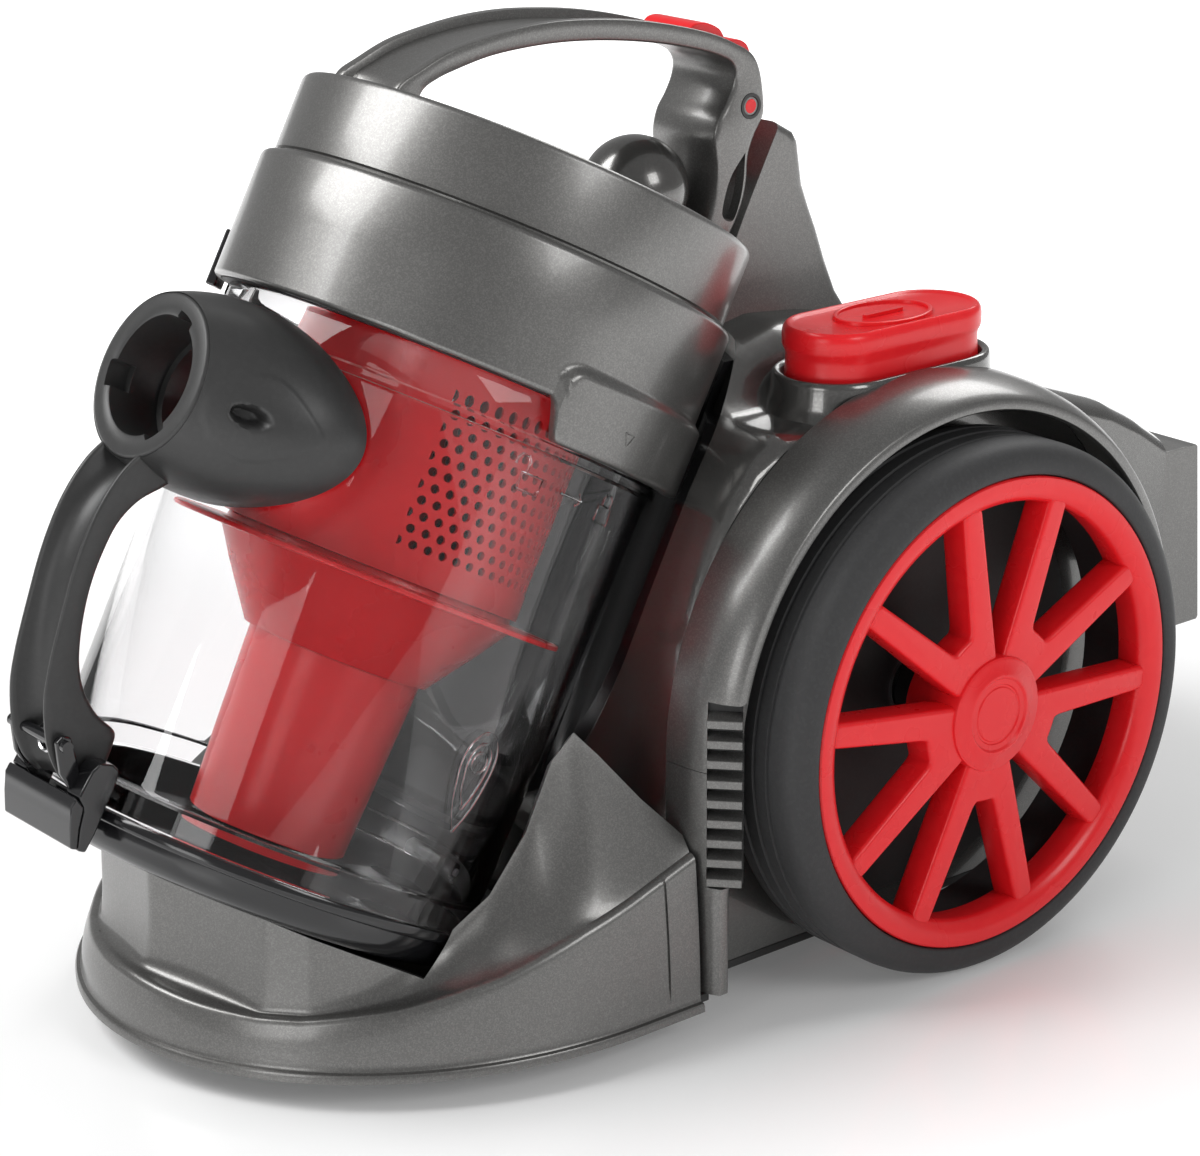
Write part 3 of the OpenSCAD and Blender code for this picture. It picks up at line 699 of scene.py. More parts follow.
class Places:
    """The frames that sizes are given in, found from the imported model."""

    def __init__(self) -> None:
        """Reads the axle line and the cup's axis."""
        low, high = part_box("tyre_right")
        self.axle_y = (low.y + high.y) / 2 / MM
        self.axle_z = (low.z + high.z) / 2 / MM
        lift = next(j for j in frame["joints"] if j["name"] == "cup_lift")
        lean = math.atan2(lift["axis"][1], lift["axis"][2])
        turn = Matrix.Rotation(-lean, 4, "X")
        low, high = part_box("latch_pin")
        pin = (low + high) / 2 / MM
        origin = pin - turn @ Vector((0.0, *LATCH_PIN))
        self.axle = Matrix.Translation((0, self.axle_y, 0))
        self.cup = Matrix.Translation(origin) @ turn
        self.cup_in_axle = self.axle.inverted() @ self.cup
        self.world = Matrix.Identity(4)

    def wheel(self, side: Side) -> Matrix:
        """Returns a wheel's frame: x to the rear, y up, z out of the side."""
        return Matrix(((0, 0, side.value, 0), (1, 0, 0, self.axle_y), (0, 1, 0, self.axle_z), (0, 0, 0, 1)))


@dataclass
class Look:
    """How a piece's mesh is finished: lengths in millimetres, the angle in degrees."""

    bevel: float = 0.0
    segments: int = 2
    angle: float = 32.0


class Workshop:
    """Turns solids into finished pieces that ride on the frame's bodies."""

    materials: dict[Finishes, bpy.types.Material] = {}
    places: Places
    repeat: "Repeat"

    @classmethod
    def open(cls) -> None:
        """Builds the shader groups, every material and the repeating tree, and reads the frames."""
        effects = Effects()
        cls.materials = {finish: finish.value.build(effects) for finish in Finishes}
        cls.places = Places()
        cls.repeat = Repeat()

    @staticmethod
    def evaluated(holder: bpy.types.Object) -> bpy.types.Mesh:
        """Bakes an object's modifiers into a new mesh.

        Args:
            holder: the object.

        Returns:
            The new mesh.
        """
        bpy.context.view_layer.update()
        graph = bpy.context.evaluated_depsgraph_get()
        return bpy.data.meshes.new_from_object(holder.evaluated_get(graph))

    @classmethod
    def piece(cls, name: str, solid: Solid, place: Matrix, finish: Finishes, body: Body,
              stands_for: Sequence[str] = (), look: Look = Look()) -> bpy.types.Object:
        """Makes a finished piece.

        Args:
            name: the piece's name.
            solid: its mesh.
            place: the solid's frame in the row frame, in millimetres.
            finish: its finish.
            body: the body it rides on.
            stands_for: CAD nodes that it replaces.
            look: bevel and shading.

        Returns:
            The new object.
        """
        mesh = solid.mesh(name)
        flipped = place.determinant() < 0
        mesh.transform(Matrix.Scale(MM, 4) @ place)
        if flipped:
            mesh.flip_normals()
        mesh.materials.append(finish.material())
        for polygon in mesh.polygons:
            polygon.use_smooth = True
            polygon.material_index = 0
        mesh.set_sharp_from_angle(angle=math.radians(look.angle))
        made = bpy.data.objects.new(name, mesh)
        bpy.context.scene.collection.objects.link(made)
        if look.bevel:
            bevel = made.modifiers.new("edges", "BEVEL")
            bevel.width, bevel.segments = look.bevel * MM, look.segments
            bevel.limit_method, bevel.angle_limit = "ANGLE", math.radians(look.angle)
            bevel.harden_normals = True
            bevel.miter_outer = "MITER_ARC"
        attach(made, body.value)
        if stands_for:
            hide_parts(*stands_for)
        LOG.info("%s: %d faces on %s", name, len(mesh.polygons), body.value)
        return made

    @classmethod
    def dress(cls, finish: Finishes, *nodes: str) -> None:
        """Gives CAD nodes that stay in view a procedural material.

        Args:
            finish: the finish.
            nodes: CAD nodes.
        """
        for name in nodes:
            mesh_slots = frame["nodes"][name].material_slots
            for slot in mesh_slots:
                slot.material = finish.material()
            if not mesh_slots:
                frame["nodes"][name].data.materials.append(finish.material())
            LOG.info("%s keeps its CAD shape", name)


class Repeat:
    """Geometry Nodes tree that lays copies of a mesh in rows and columns about z."""

    def __init__(self) -> None:
        """Builds the tree."""
        self.tree = bpy.data.node_groups.new("Repeat about an axis", "GeometryNodeTree")
        self.sockets: dict[str, str] = {}
        face = self.tree.interface
        face.new_socket("Geometry", in_out="INPUT", socket_type="NodeSocketGeometry")
        for label, kind in (("Columns", "NodeSocketInt"), ("Rows", "NodeSocketInt"),
                            ("Column Angle", "NodeSocketFloat"), ("Stagger", "NodeSocketFloat"),
                            ("Row Step", "NodeSocketVector"), ("Material", "NodeSocketMaterial")):
            made = face.new_socket(label, in_out="INPUT", socket_type=kind)
            self.sockets[label] = made.identifier
        face.new_socket("Geometry", in_out="OUTPUT", socket_type="NodeSocketGeometry")
        self._wire()

    def _wire(self) -> None:
        """Adds and joins the tree's nodes."""
        desk = NodeDesk(self.tree)
        inside, out = desk.add("NodeGroupInput"), desk.add("NodeGroupOutput")
        total = desk.math("MULTIPLY", inside.outputs["Columns"], inside.outputs["Rows"])
        points = desk.add("GeometryNodePoints")
        desk.join(total, points.inputs["Count"])
        index = desk.add("GeometryNodeInputIndex").outputs[0]
        row = desk.math("FLOOR", desk.math("DIVIDE", index, inside.outputs["Columns"]))
        column = desk.math("SUBTRACT", index, desk.math("MULTIPLY", row, inside.outputs["Columns"]))
        odd = desk.math("MULTIPLY", desk.math("MODULO", row, 2.0), inside.outputs["Stagger"])
        angle = desk.math("MULTIPLY", desk.math("ADD", column, odd), inside.outputs["Column Angle"])
        lift = desk.add("ShaderNodeVectorMath", operation="SCALE")
        desk.join(inside.outputs["Row Step"], lift.inputs[0])
        desk.join(row, lift.inputs["Scale"])
        place = desk.add("GeometryNodeSetPosition")
        desk.join(points.outputs[0], place.inputs["Geometry"])
        desk.join(lift.outputs[0], place.inputs["Position"])
        turn = desk.add("ShaderNodeCombineXYZ")
        desk.join(angle, turn.inputs["Z"])
        copies = desk.add("GeometryNodeInstanceOnPoints")
        desk.join(place.outputs[0], copies.inputs["Points"])
        desk.join(inside.outputs["Geometry"], copies.inputs["Instance"])
        desk.join(turn.outputs[0], copies.inputs["Rotation"])
        real = desk.add("GeometryNodeRealizeInstances")
        desk.join(copies.outputs[0], real.inputs[0])
        dress = desk.add("GeometryNodeSetMaterial")
        desk.join(real.outputs[0], dress.inputs["Geometry"])
        desk.join(inside.outputs["Material"], dress.inputs["Material"])
        desk.join(dress.outputs[0], out.inputs[0])

    def lay(self, unit: Solid, columns: int = 1, rows: int = 1, angle: float = 0.0,
            stagger: float = 0.0, step: Sequence[float] = (0, 0, 0),
            finish: Finishes = Finishes.DARK) -> Solid:
        """Repeats a unit.

        Args:
            unit: the mesh to repeat.
            columns: copies in a row, turned about z.
            rows: number of rows.
            angle: turn from column to column, in degrees.
            stagger: share of a turn that odd rows are shifted by.
            step: shift from row to row.
            finish: finish that the copies carry.

        Returns:
            All the copies as one solid.
        """
        holder = bpy.data.objects.new("repeat", unit.mesh("repeat"))
        bpy.context.scene.collection.objects.link(holder)
        modifier = holder.modifiers.new("repeat", "NODES")
        modifier.node_group = self.tree
        values = {"Columns": columns, "Rows": rows, "Column Angle": math.radians(angle),
                  "Stagger": stagger, "Row Step": tuple(float(s) for s in step),
                  "Material": finish.material()}
        for label, value in values.items():
            modifier[self.sockets[label]] = value
        mesh = Workshop.evaluated(holder)
        result = Solid()
        result.bm.from_mesh(mesh)
        holder.modifiers.remove(modifier)
        bpy.data.objects.remove(holder)
        bpy.data.meshes.remove(mesh)
        return result


# ------------------------------------------------------------------ studio

@dataclass
class Studio:
    """Pale floor, soft lights and the camera. Camera lengths are metres, angles are degrees."""

    azimuth: float = 50.42
    elevation: float = 18.83
    roll: float = -0.41
    place: tuple[float, float, float] = (0.8737, -0.7125, 0.5104)
    lens: float = 100.8
    floor_half: float = 9.0
    # strength of the light from all round, and how the floor's own light grows with distance
    ambient: float = 0.32
    fade: tuple = (("From Min", 0.25), ("From Max", 1.3), ("To Min", 0.1), ("To Max", 0.95))
    # name, place in metres, side in metres, power in watts
    lights: tuple = (("key light", (-1.0, -1.5, 2.1), 1.5, 60.0), ("side light", (2.6, 0.3, 1.7), 1.1, 20.0),
                     ("front light", (0.9, -2.6, 0.8), 0.9, 9.0), ("rear light", (-0.6, 2.0, 1.9), 1.2, 24.0))

    def build(self) -> None:
        """Sets up the view, the lights, the floor and the camera."""
        scene = bpy.context.scene
        scene.view_settings.view_transform = "Standard"
        self._world(scene)
        self._floor()
        for light in self.lights:
            self._light(*light)
        self._camera(scene)

    def _world(self, scene: bpy.types.Scene) -> None:
        """Lights the scene from all round, white to the eye and dimmer on surfaces.

        Args:
            scene: the scene.
        """
        world = bpy.data.worlds.new("studio")
        world.use_nodes = True
        desk = NodeDesk(world.node_tree)
        background = world.node_tree.nodes["Background"]
        background.inputs["Color"].default_value = (1.0, 1.0, 1.0, 1.0)
        rays = desk.add("ShaderNodeLightPath")
        level = desk.math("MULTIPLY_ADD", rays.outputs["Is Camera Ray"], 1 - self.ambient)
        level.node.inputs[2].default_value = self.ambient
        desk.join(level, background.inputs["Strength"])
        scene.world = world

    def _floor(self) -> None:
        """Lays the pale floor."""
        mesh = bpy.data.meshes.new("floor")
        half = self.floor_half
        mesh.from_pydata([(-half, -half, 0), (half, -half, 0), (half, half, 0), (-half, half, 0)], [],
                         [(0, 1, 2, 3)])
        material = bpy.data.materials.new("Pale floor")
        material.use_nodes = True
        shader = material.node_tree.nodes["Principled BSDF"]
        shader.inputs["Base Color"].default_value = (0.93, 0.93, 0.93, 1.0)
        shader.inputs["Roughness"].default_value = 0.16
        shader.inputs["Specular IOR Level"].default_value = 0.22
        shader.inputs["Emission Color"].default_value = (1.0, 1.0, 1.0, 1.0)
        desk = NodeDesk(material.node_tree)
        far = desk.add("ShaderNodeVectorMath", operation="LENGTH")
        desk.join(desk.add("ShaderNodeTexCoord").outputs["Object"], far.inputs[0])
        fade = desk.add("ShaderNodeMapRange", interpolation_type="SMOOTHSTEP")
        for label, value in self.fade:
            fade.inputs[label].default_value = value
        desk.join(far.outputs["Value"], fade.inputs["Value"])
        desk.join(fade.outputs["Result"], shader.inputs["Emission Strength"])
        mesh.materials.append(material)
        floor = bpy.data.objects.new("floor", mesh)
        bpy.context.scene.collection.objects.link(floor)

    def _light(self, name: str, place: Sequence[float], size: float, power: float) -> None:
        """Hangs a soft light that faces the machine.

        Args:
            name: the light's name.
            place: where it hangs, in metres.
            size: side of its square face, in metres.
            power: power in watts.
        """
        lamp = bpy.data.lights.new(name, "AREA")
        lamp.size, lamp.energy = size, power
        holder = bpy.data.objects.new(name, lamp)
        holder.location = place
        aim = Vector((0, 0, 0.15)) - Vector(place)
        holder.rotation_euler = aim.to_track_quat("-Z", "Y").to_euler()
        bpy.context.scene.collection.objects.link(holder)

    def _camera(self, scene: bpy.types.Scene) -> None:
        """Places the camera.

        Args:
            scene: the scene.
        """
        lens = bpy.data.cameras.new("camera")
        lens.lens, lens.sensor_width, lens.sensor_fit = self.lens, 36.0, "HORIZONTAL"
        holder = bpy.data.objects.new("camera", lens)
        turn = (Matrix.Rotation(math.radians(self.azimuth), 4, "Z")
                @ Matrix.Rotation(math.radians(90 - self.elevation), 4, "X")
                @ Matrix.Rotation(math.radians(self.roll), 4, "Z"))
        holder.matrix_world = Matrix.Translation(self.place) @ turn
        scene.collection.objects.link(holder)
        scene.camera = holder


# ------------------------------------------------------------------ base

@dataclass
class FrontSkirt:
    """Grey nose and wings that carry the cup, with the base pan under them (axle frame)."""

    half: float = 111.0
    nose: float = 130.0
    widest_y: float = -140.0
    back_y: float = -113.2
    socket_r: float = 82.0
    caster_y: float = -232.0
    caster_clear: float = 24.6
    notch_tip: Pair = (69.0, 29.0)
    notch_near: Pair = (57.0, 62.0)
    notch_far: Pair = (73.5, 70.0)
    notch_depth: float = 9.0
    seam: float = -7.0
    # inset and height of the lip's outside, from the foot up
    lip: tuple = ((-1.6, 10.6), (-1.6, 12.8), (-1.1, 13.6), (0.2, 13.9), (0.7, 14.6), (0.8, 17.0))
    # station angle, crease height, x, y and z of the upper edge, bend of the scoop
    stations: tuple = ((-14.0, 66.0, 101.0, -113.2, 71.0, 1.0), (-7.0, 61.5, 96.0, -127.0, 86.0, 1.04),
                       (0.0, 57.0, 90.0, -140.0, 103.0, 1.1), (4.0, 54.5, 86.0, -147.0, 111.5, 1.14),
                       (8.0, 52.0, 82.0, -153.0, 102.0, 1.2), (14.0, 47.5, 80.5, -163.0, 79.0, 1.3),
                       (22.0, 41.5, 80.0, -178.0, 61.0, 1.45), (30.0, 37.5, 78.5, -193.0, 52.0, 1.6),
                       (38.0, 34.0, 76.0, -208.0, 51.0, 1.8), (46.0, 32.0, 70.0, -223.0, 56.0, 2.1),
                       (54.0, 30.0, 61.5, -236.0, 66.0, 2.3), (62.0, 29.5, 49.0, -245.5, 78.0, 2.4),
                       (90.0, 32.0, 0.0, -257.0, 80.0, 2.4))

    def edge(self, angle: float, inset: float) -> Vector:
        """Point on the plan outline; angles under 0 run back along the straight side.

        Args:
            angle: station angle in degrees, from -14 at the back to 90 at the nose.
            inset: distance drawn in.

        Returns:
            The point, at z = 0.
        """
        if angle < 0:
            run = angle / -14.0 * (self.back_y - self.widest_y)
            return Vector((self.half - inset, self.widest_y + run, 0))
        a = math.radians(angle)
        return Vector(((self.half - inset) * math.cos(a), self.widest_y - (self.nose - inset) * math.sin(a), 0))

    def _notch(self) -> Solid:
        """Builds the four-sided wedge that cuts the nose notch on the +x side.

        Returns:
            The wedge.
        """
        tip, near, far = (self.edge(angle, 7.0) + Vector((0, 0, z))
                          for angle, z in (self.notch_tip, self.notch_near, self.notch_far))
        inward = Vector((-far.x, self.widest_y - far.y, 0)).normalized()
        deep = tip + (far - tip) * 1.4 + inward * self.notch_depth * 1.4
        open_far = tip + (far - tip) * 1.4 - inward * 8
        open_near = tip + (near - tip) * 1.4
        open_near += (open_near - deep) * 0.4
        wedge = Solid()
        corners = [wedge.bm.verts.new(p) for p in (tip, open_near, open_far, deep)]
        for face in ((0, 1, 2), (0, 2, 3), (0, 3, 1), (1, 3, 2)):
            wedge.bm.faces.new([corners[k] for k in face])
        return wedge

    def profile(self, angle: float) -> list[Vector]:
        """Closed section of the skirt at one station.

        Args:
            angle: station angle, from -14 to 90.

        Returns:
            Points from the lip up the outside and back down the inside.
        """
        crease, top_x, top_y, top_z, bend = table(self.stations, angle)
        sunk = 0.7 if abs(angle - self.seam) < 0.25 else 0.0
        outer = [self.edge(angle, inset) + Vector((0, 0, z)) for inset, z in self.lip]
        inset, foot = self.lip[-1]
        for k in range(1, 9):
            t = k / 8
            height = foot + (crease - 2.6 - foot) * t
            outer.append(self.edge(angle, inset + sunk + 2.6 * t ** 1.6) + Vector((0, 0, height)))
        outer.append(self.edge(angle, 3.9) + Vector((0, 0, crease - 1.1)))
        outer.append(self.edge(angle, 5.0) + Vector((0, 0, crease - 0.2)))
        start = self.edge(angle, 6.6) + Vector((0, 0, crease))
        end = Vector((top_x, top_y, top_z))
        for k in range(29):
            t = k / 28
            flat, rise = 1 - (1 - t) ** bend, t ** bend
            spot = Vector((start.x + (end.x - start.x) * flat, start.y + (end.y - start.y) * flat,
                           start.z + (end.z - start.z) * rise))
            outer.append(spot)
        share = 0.965 - 0.055 * smooth_step(angle, 48.0, 56.0)
        inner = [Vector((p.x * share, self.widest_y + (p.y - self.widest_y) * share, p.z - 2.6))
                 for p in outer[:4:-1]]
        inner.append(self.edge(angle, 5.0) + Vector((0, 0, 10.6)))
        return outer + inner

    def solid(self) -> Solid:
        """Builds the skirt and cuts the cup's socket out of it.

        Returns:
            The solid.
        """
        seam = [self.seam + off for off in (-0.3, -0.2, 0.2, 0.3)]
        angles = sorted([-14 + k * 2.0 for k in range(20)] + seam + [25 + k * 0.9 for k in range(73)])
        near = [self.profile(min(a, 90.0)) for a in angles]
        far = [mirrored(ring) for ring in reversed(near[:-1])]
        skirt = Solid().skin([*near, *far])
        places = Workshop.places
        socket = Solid().revolve([(0, -13.4), (self.socket_r, -13.4), (self.socket_r, 400), (0, 400)], 160)
        skirt.cut(socket.moved(places.cup_in_axle))
        well = Solid().revolve([(0, -5), (self.caster_clear, -5), (self.caster_clear, 44), (0, 44)], 64)
        skirt.cut(well.moved(Matrix.Translation((0, self.caster_y, 0))))
        for side in Side:
            skirt.cut(self._notch().moved(Matrix.Diagonal((side.value, 1, 1, 1))))
        return skirt

    def build(self) -> None:
        """Makes the skirt, the base pan and the pads."""
        places = Workshop.places
        Workshop.piece("front_skirt", self.solid(), places.axle, Finishes.SHELL, Body.CHASSIS,
                       ("front_shell",), Look(angle=38.0))
        Workshop.piece("base_floor", from_node("base_pan"), places.world, Finishes.DARK, Body.CHASSIS,
                       ("base_pan",), Look(bevel=0.6))
        head = [(0, 0), (3.6, 0), (3.6, 1.2), (2.8, 2.0), (1.6, 2.0), (1.5, 0.9), (0, 0.9)]
        screw = Solid().revolve(head, 24)
        screw.moved(Matrix.Rotation(math.pi, 4, "X"))
        rows = Workshop.repeat.lay(screw, rows=4, step=(0, 44.0, 0), finish=Finishes.STEEL)
        both = Solid()
        for x in (-72.0, 72.0):
            both.include(Solid().include(rows).moved(Matrix.Translation((x, -100.0, 10.0))))
        Workshop.piece("base_screws", both, places.axle, Finishes.STEEL, Body.CHASSIS)
        Workshop.dress(Finishes.SEAL, "skid_pads")


@dataclass
class RearBody:
    """Grey body behind the cup: shell, cradle, tower, dock and collars (axle frame)."""

    half: float = 92.0
    hump_half: float = 46.0
    cut_r: float = 91.1
    corner: float = 12.0
    # radius and lowest height of the near-black disc behind each wheel, which is painted shade
    shade_disc_r: float = 78.0
    shade_disc_low: float = 20.0
    # y, height at the side, height in the middle
    heights: tuple = ((-112.8, 72.0, 90.0), (-103.0, 138.0, 138.0), (-94.0, 158.0, 165.0),
                      (-84.0, 177.0, 184.0), (-72.0, 189.0, 198.0), (-60.0, 194.5, 208.0),
                      (-40.0, 195.0, 213.0), (-15.0, 195.0, 217.0), (10.0, 195.0, 214.5),
                      (25.0, 195.0, 211.0), (45.0, 194.6, 204.0), (62.0, 191.0, 197.5),
                      (80.0, 184.5, 187.0), (100.0, 177.5, 177.5), (116.0, 169.0, 169.0),
                      (131.0, 159.0, 159.0))
    rear_low: tuple = ((84.0, 13.2), (106.0, 32.0), (131.0, 76.0))

    def _section(self, y: float) -> Ring:
        """Closed section across the body at one y.

        Args:
            y: distance from the axle line.

        Returns:
            Ring of points in the plane of y.
        """
        side, middle = table(self.heights, y)
        foot = 13.2 if y <= self.rear_low[0][0] else table(self.rear_low, y)[0]
        corner = self.corner
        right = [Vector((self.half, y, foot)), Vector((self.half, y, (foot + side) / 2))]
        for k in range(7):
            a = math.radians(15 * k)
            right.append(Vector((self.half - corner * (1 - math.cos(a)), y,
                                 side - corner * 0.6 * (1 - math.sin(a)))))
        for x in (76.0, 72.0, 68.0, 64.0, 60.0, 56.0, 52.0, 48.0, 44.0, 38.0, 28.0, 16.0, 6.0):
            lift = 1 - smooth_step(x, self.hump_half - 8, self.hump_half + 20)
            right.append(Vector((x, y, side + (middle - side) * lift)))
        return right + mirrored(right[::-1])

    def _shell(self) -> Solid:
        """Builds the shell and cuts the cup's seat and the pedal wells.

        Returns:
            The solid.
        """
        stations = sorted({-112.8, *[-112 + 4 * k for k in range(61)], 84.0, 106.0, 131.0})
        outside = Solid().skin([self._section(y) for y in stations])
        places = Workshop.places
        seat = Solid().revolve([(0, -60), (self.cut_r, -60), (self.cut_r, 420), (0, 420)], 160)
        outside.cut(seat.moved(places.cup_in_axle))
        for side in Side:
            well = Solid().skin([stadium(81.0, 37.0, 150.0), stadium(81.0, 37.0, 240.0)])
            outside.cut(well.moved(pedal_place(side)))
        return outside

    def _tower(self) -> Solid:
        """Builds the fin behind the lid, flared where it meets the body.

        Returns:
            The solid.
        """
        rows = ((285.4, -4.0, 15.8), (284.6, -1.0, 16.8), (282.0, 4.0, 17.2), (276.5, 13.8, 17.2),
                (273.0, 16.0, 17.2), (257.5, 18.4, 17.4), (249.0, 21.4, 17.8), (241.2, 24.4, 18.4),
                (229.0, 28.0, 19.6), (217.6, 31.4, 21.6), (210.0, 35.0, 24.0), (203.0, 40.0, 27.0))
        rings = []
        for z, back, half in rows:
            corner = min(7.0, half * 0.4)
            ring = softened([(half, -80.0), (half, back), (-half, back), (-half, -80.0)], corner, 6)
            rings.append([Vector((x, y, z)) for x, y in ring])
        tower = Solid().skin(rings)
        room = Solid().revolve([(0, 60), (86.4, 60), (86.4, 420), (0, 420)], 160)
        return tower.cut(room.moved(Workshop.places.cup_in_axle))

    def _collar(self, side: Side) -> Solid:
        """Builds the raised rim round a pedal.

        Args:
            side: which side.

        Returns:
            The solid.
        """
        outer = [stadium(97.0, 49.0, 193.0), stadium(92.0, 46.0, 196.5), stadium(89.0, 44.6, 200.0),
                 stadium(88.0, 44.0, 205.8), stadium(87.2, 43.2, 207.4), stadium(85.6, 41.6, 208.0),
                 stadium(83.0, 39.0, 207.8), stadium(81.6, 37.6, 207.0), stadium(81.2, 37.2, 193.0)]
        return Solid().skin(outer, loop=True).moved(pedal_place(side))

    def _shade_disc(self, side: Side) -> Solid:
        """Builds the near-black disc on the body's side behind a wheel, painted shade seen through the spokes.

        Args:
            side: which side.

        Returns:
            The solid.
        """
        around = [polar(self.shade_disc_r, angle) for angle in range(0, 360, 5)]
        outline = [(y, max(z + Workshop.places.axle_z, self.shade_disc_low)) for y, z in around]
        inner, outer = sorted((side.value * (self.half + 0.05), side.value * (self.half + 1.4)))
        return Solid().slab(outline, inner, outer)

    def _dock(self) -> Solid:
        """Builds the rear block with the slot for the floor head's hook.

        Returns:
            The solid.
        """
        side = spline([(127.0, 158.0), (128.6, 153.0), (132.0, 150.2), (138.0, 149.4), (148.0, 149.2)], 12)
        outline = [(p.x, p.y) for p in side] + [(157.0, 149.2), (158.2, 148.4), (163.4, 79.6), (162.6, 78.4),
                                               (131.4, 78.4), (127.0, 84.0)]
        block = Solid().slab(outline, -84.0, 84.0)
        for x in (-71.0, -42.0, 42.0, 71.0):
            block.include(Solid().slab([(136.0, 149.0), (138.0, 154.6), (143.0, 155.8), (147.0, 153.0),
                                        (150.0, 149.0)], x - 5.5, x + 5.5))
        for x0, x1, y0, y1 in ((-14.0, 14.0, 142.0, 153.0), (-8.0, 8.0, 150.0, 172.0)):
            block.cut(Solid().block(x0, x1, y0, y1, 60.0, 170.0))
        bore = Solid().revolve([(0, -20), (8.1, -20), (8.1, 40), (0, 40)], 48)
        bore.moved(Matrix.Translation((52.0, 152.0, 112.0)) @ Matrix.Rotation(-math.pi / 2, 4, "X"))
        return block.cut(bore)

    def build(self) -> None:
        """Makes every piece of the rear body."""
        places = Workshop.places
        Workshop.piece("rear_body", self._shell(), places.axle, Finishes.SHELL_GLOSS, Body.CHASSIS,
                       ("rear_shell",), Look(angle=35.0))
        Workshop.piece("cup_cradle", from_node("cradle"), places.world, Finishes.BLACK, Body.CHASSIS,
                       ("cradle",), Look(bevel=0.8))
        Workshop.piece("tower", self._tower(), places.axle, Finishes.SHELL, Body.CHASSIS,
                       ("spine_tower",), Look(bevel=1.4, segments=3, angle=40.0))
        for side in Side:
            Workshop.piece(f"pedal_collar_{side.word}", self._collar(side), places.axle,
                           Finishes.SHELL_GLOSS, Body.CHASSIS, (f"collar_{side.word}",), Look(angle=50.0))
            # painted shade: a near-black sheet on the body's side stands for the shade behind the wheel's
            # spokes
            Workshop.piece(f"painted_shade_disc_{side.word}", self._shade_disc(side), places.axle, Finishes.SEAL,
                           Body.CHASSIS)
        Workshop.piece("dock", self._dock(), places.axle, Finishes.SHELL, Body.CHASSIS,
                       ("rear_dock",), Look(bevel=0.8, segments=3, angle=40.0))


@dataclass
class WheelArch:
    """Grey arch over one wheel, its straight front leg and the louvred vent (wheel frame)."""

    side: Side
    foot: float = -79.0
    # radius and distance out of the side
    section: tuple = ((102.5, 116.4), (102.6, 118.0), (103.1, 118.5), (106.0, 118.45), (106.8, 117.9),
                      (109.4, 113.6), (111.3, 108.2), (112.4, 102.0), (113.0, 92.3), (110.0, 92.3),
                      (109.5, 101.8), (107.6, 108.5), (104.4, 114.6))
    vent_x: float = 114.4
    vent_y: float = -106.6
    vent_turn: float = 42.0
    vent_half: float = 5.9
    vent_low: float = 54.6
    slats: int = 9
    pitch: float = 7.0

    def _leg(self) -> Solid:
        """Builds the leg in front of the wheel, whose lip draws in under the vent.

        Returns:
            The solid.
        """
        rings = []
        for k in range(33):
            up = -0.25 + (self.foot + 0.25) * k / 32
            draw = smooth_step(-up, 26.0, 44.0)
            ring = []
            for radius, out in self.section:
                lip = draw * max(0.0, out - 110.0) / 8.5
                ring.append(Vector((-radius - 2.6 * lip, up, out - 3.4 * lip)))
            rings.append(ring)
        return Solid().skin(rings)

    def _pocket(self) -> Matrix:
        """Returns the vent's own frame: x along the slats, y inwards, z up (axle frame)."""
        return (Matrix.Translation((self.vent_x, self.vent_y, self.vent_low))
                @ Matrix.Rotation(math.radians(self.vent_turn), 4, "Z"))

    def build(self) -> None:
        """Makes the arch, the slats and the near-black sheet behind them, which is painted shade inside the
        vent.
        """
        places = Workshop.places
        word = self.side.word
        to_axle = places.axle.inverted() @ places.wheel(Side.RIGHT)
        mirror = places.axle @ Matrix.Diagonal((self.side.value, 1, 1, 1))
        arch = Solid().revolve(self.section, 110, 10.0, 170.0).include(self._leg()).moved(to_axle)
        tall = self.slats * self.pitch + 1.4
        half = self.vent_half
        hole = Solid().slab([(-9.0, 0), (4.2, 0), (4.2, tall), (-9.0, tall)], -half, half)
        arch.cut(hole.moved(self._pocket()))
        Workshop.piece(f"wheel_arch_{word}", arch, mirror, Finishes.SHELL, Body.CHASSIS, (f"fender_{word}",),
                       Look(angle=42.0))
        slat = Solid().slab([(-1.1, 0.4), (3.9, 2.6), (3.9, 5.0), (0.6, 3.9), (-1.0, 3.2)], -half, half)
        slats = Workshop.repeat.lay(slat, rows=self.slats, step=(0, 0, self.pitch), finish=Finishes.SHELL)
        Workshop.piece(f"arch_vent_{word}", slats.moved(self._pocket()), mirror, Finishes.SHELL, Body.CHASSIS,
                       (f"vent_{word}",), Look(bevel=0.25, angle=50.0))
        # painted shade: a near-black sheet behind the slats stands for the shade inside the vent
        back = Solid().slab([(3.95, 0), (5.2, 0), (5.2, tall), (3.95, tall)], -half, half)
        Workshop.piece(f"vent_shade_sheet_{word}", back.moved(self._pocket()), mirror, Finishes.SEAL, Body.CHASSIS)


# ------------------------------------------------------------------ wheels

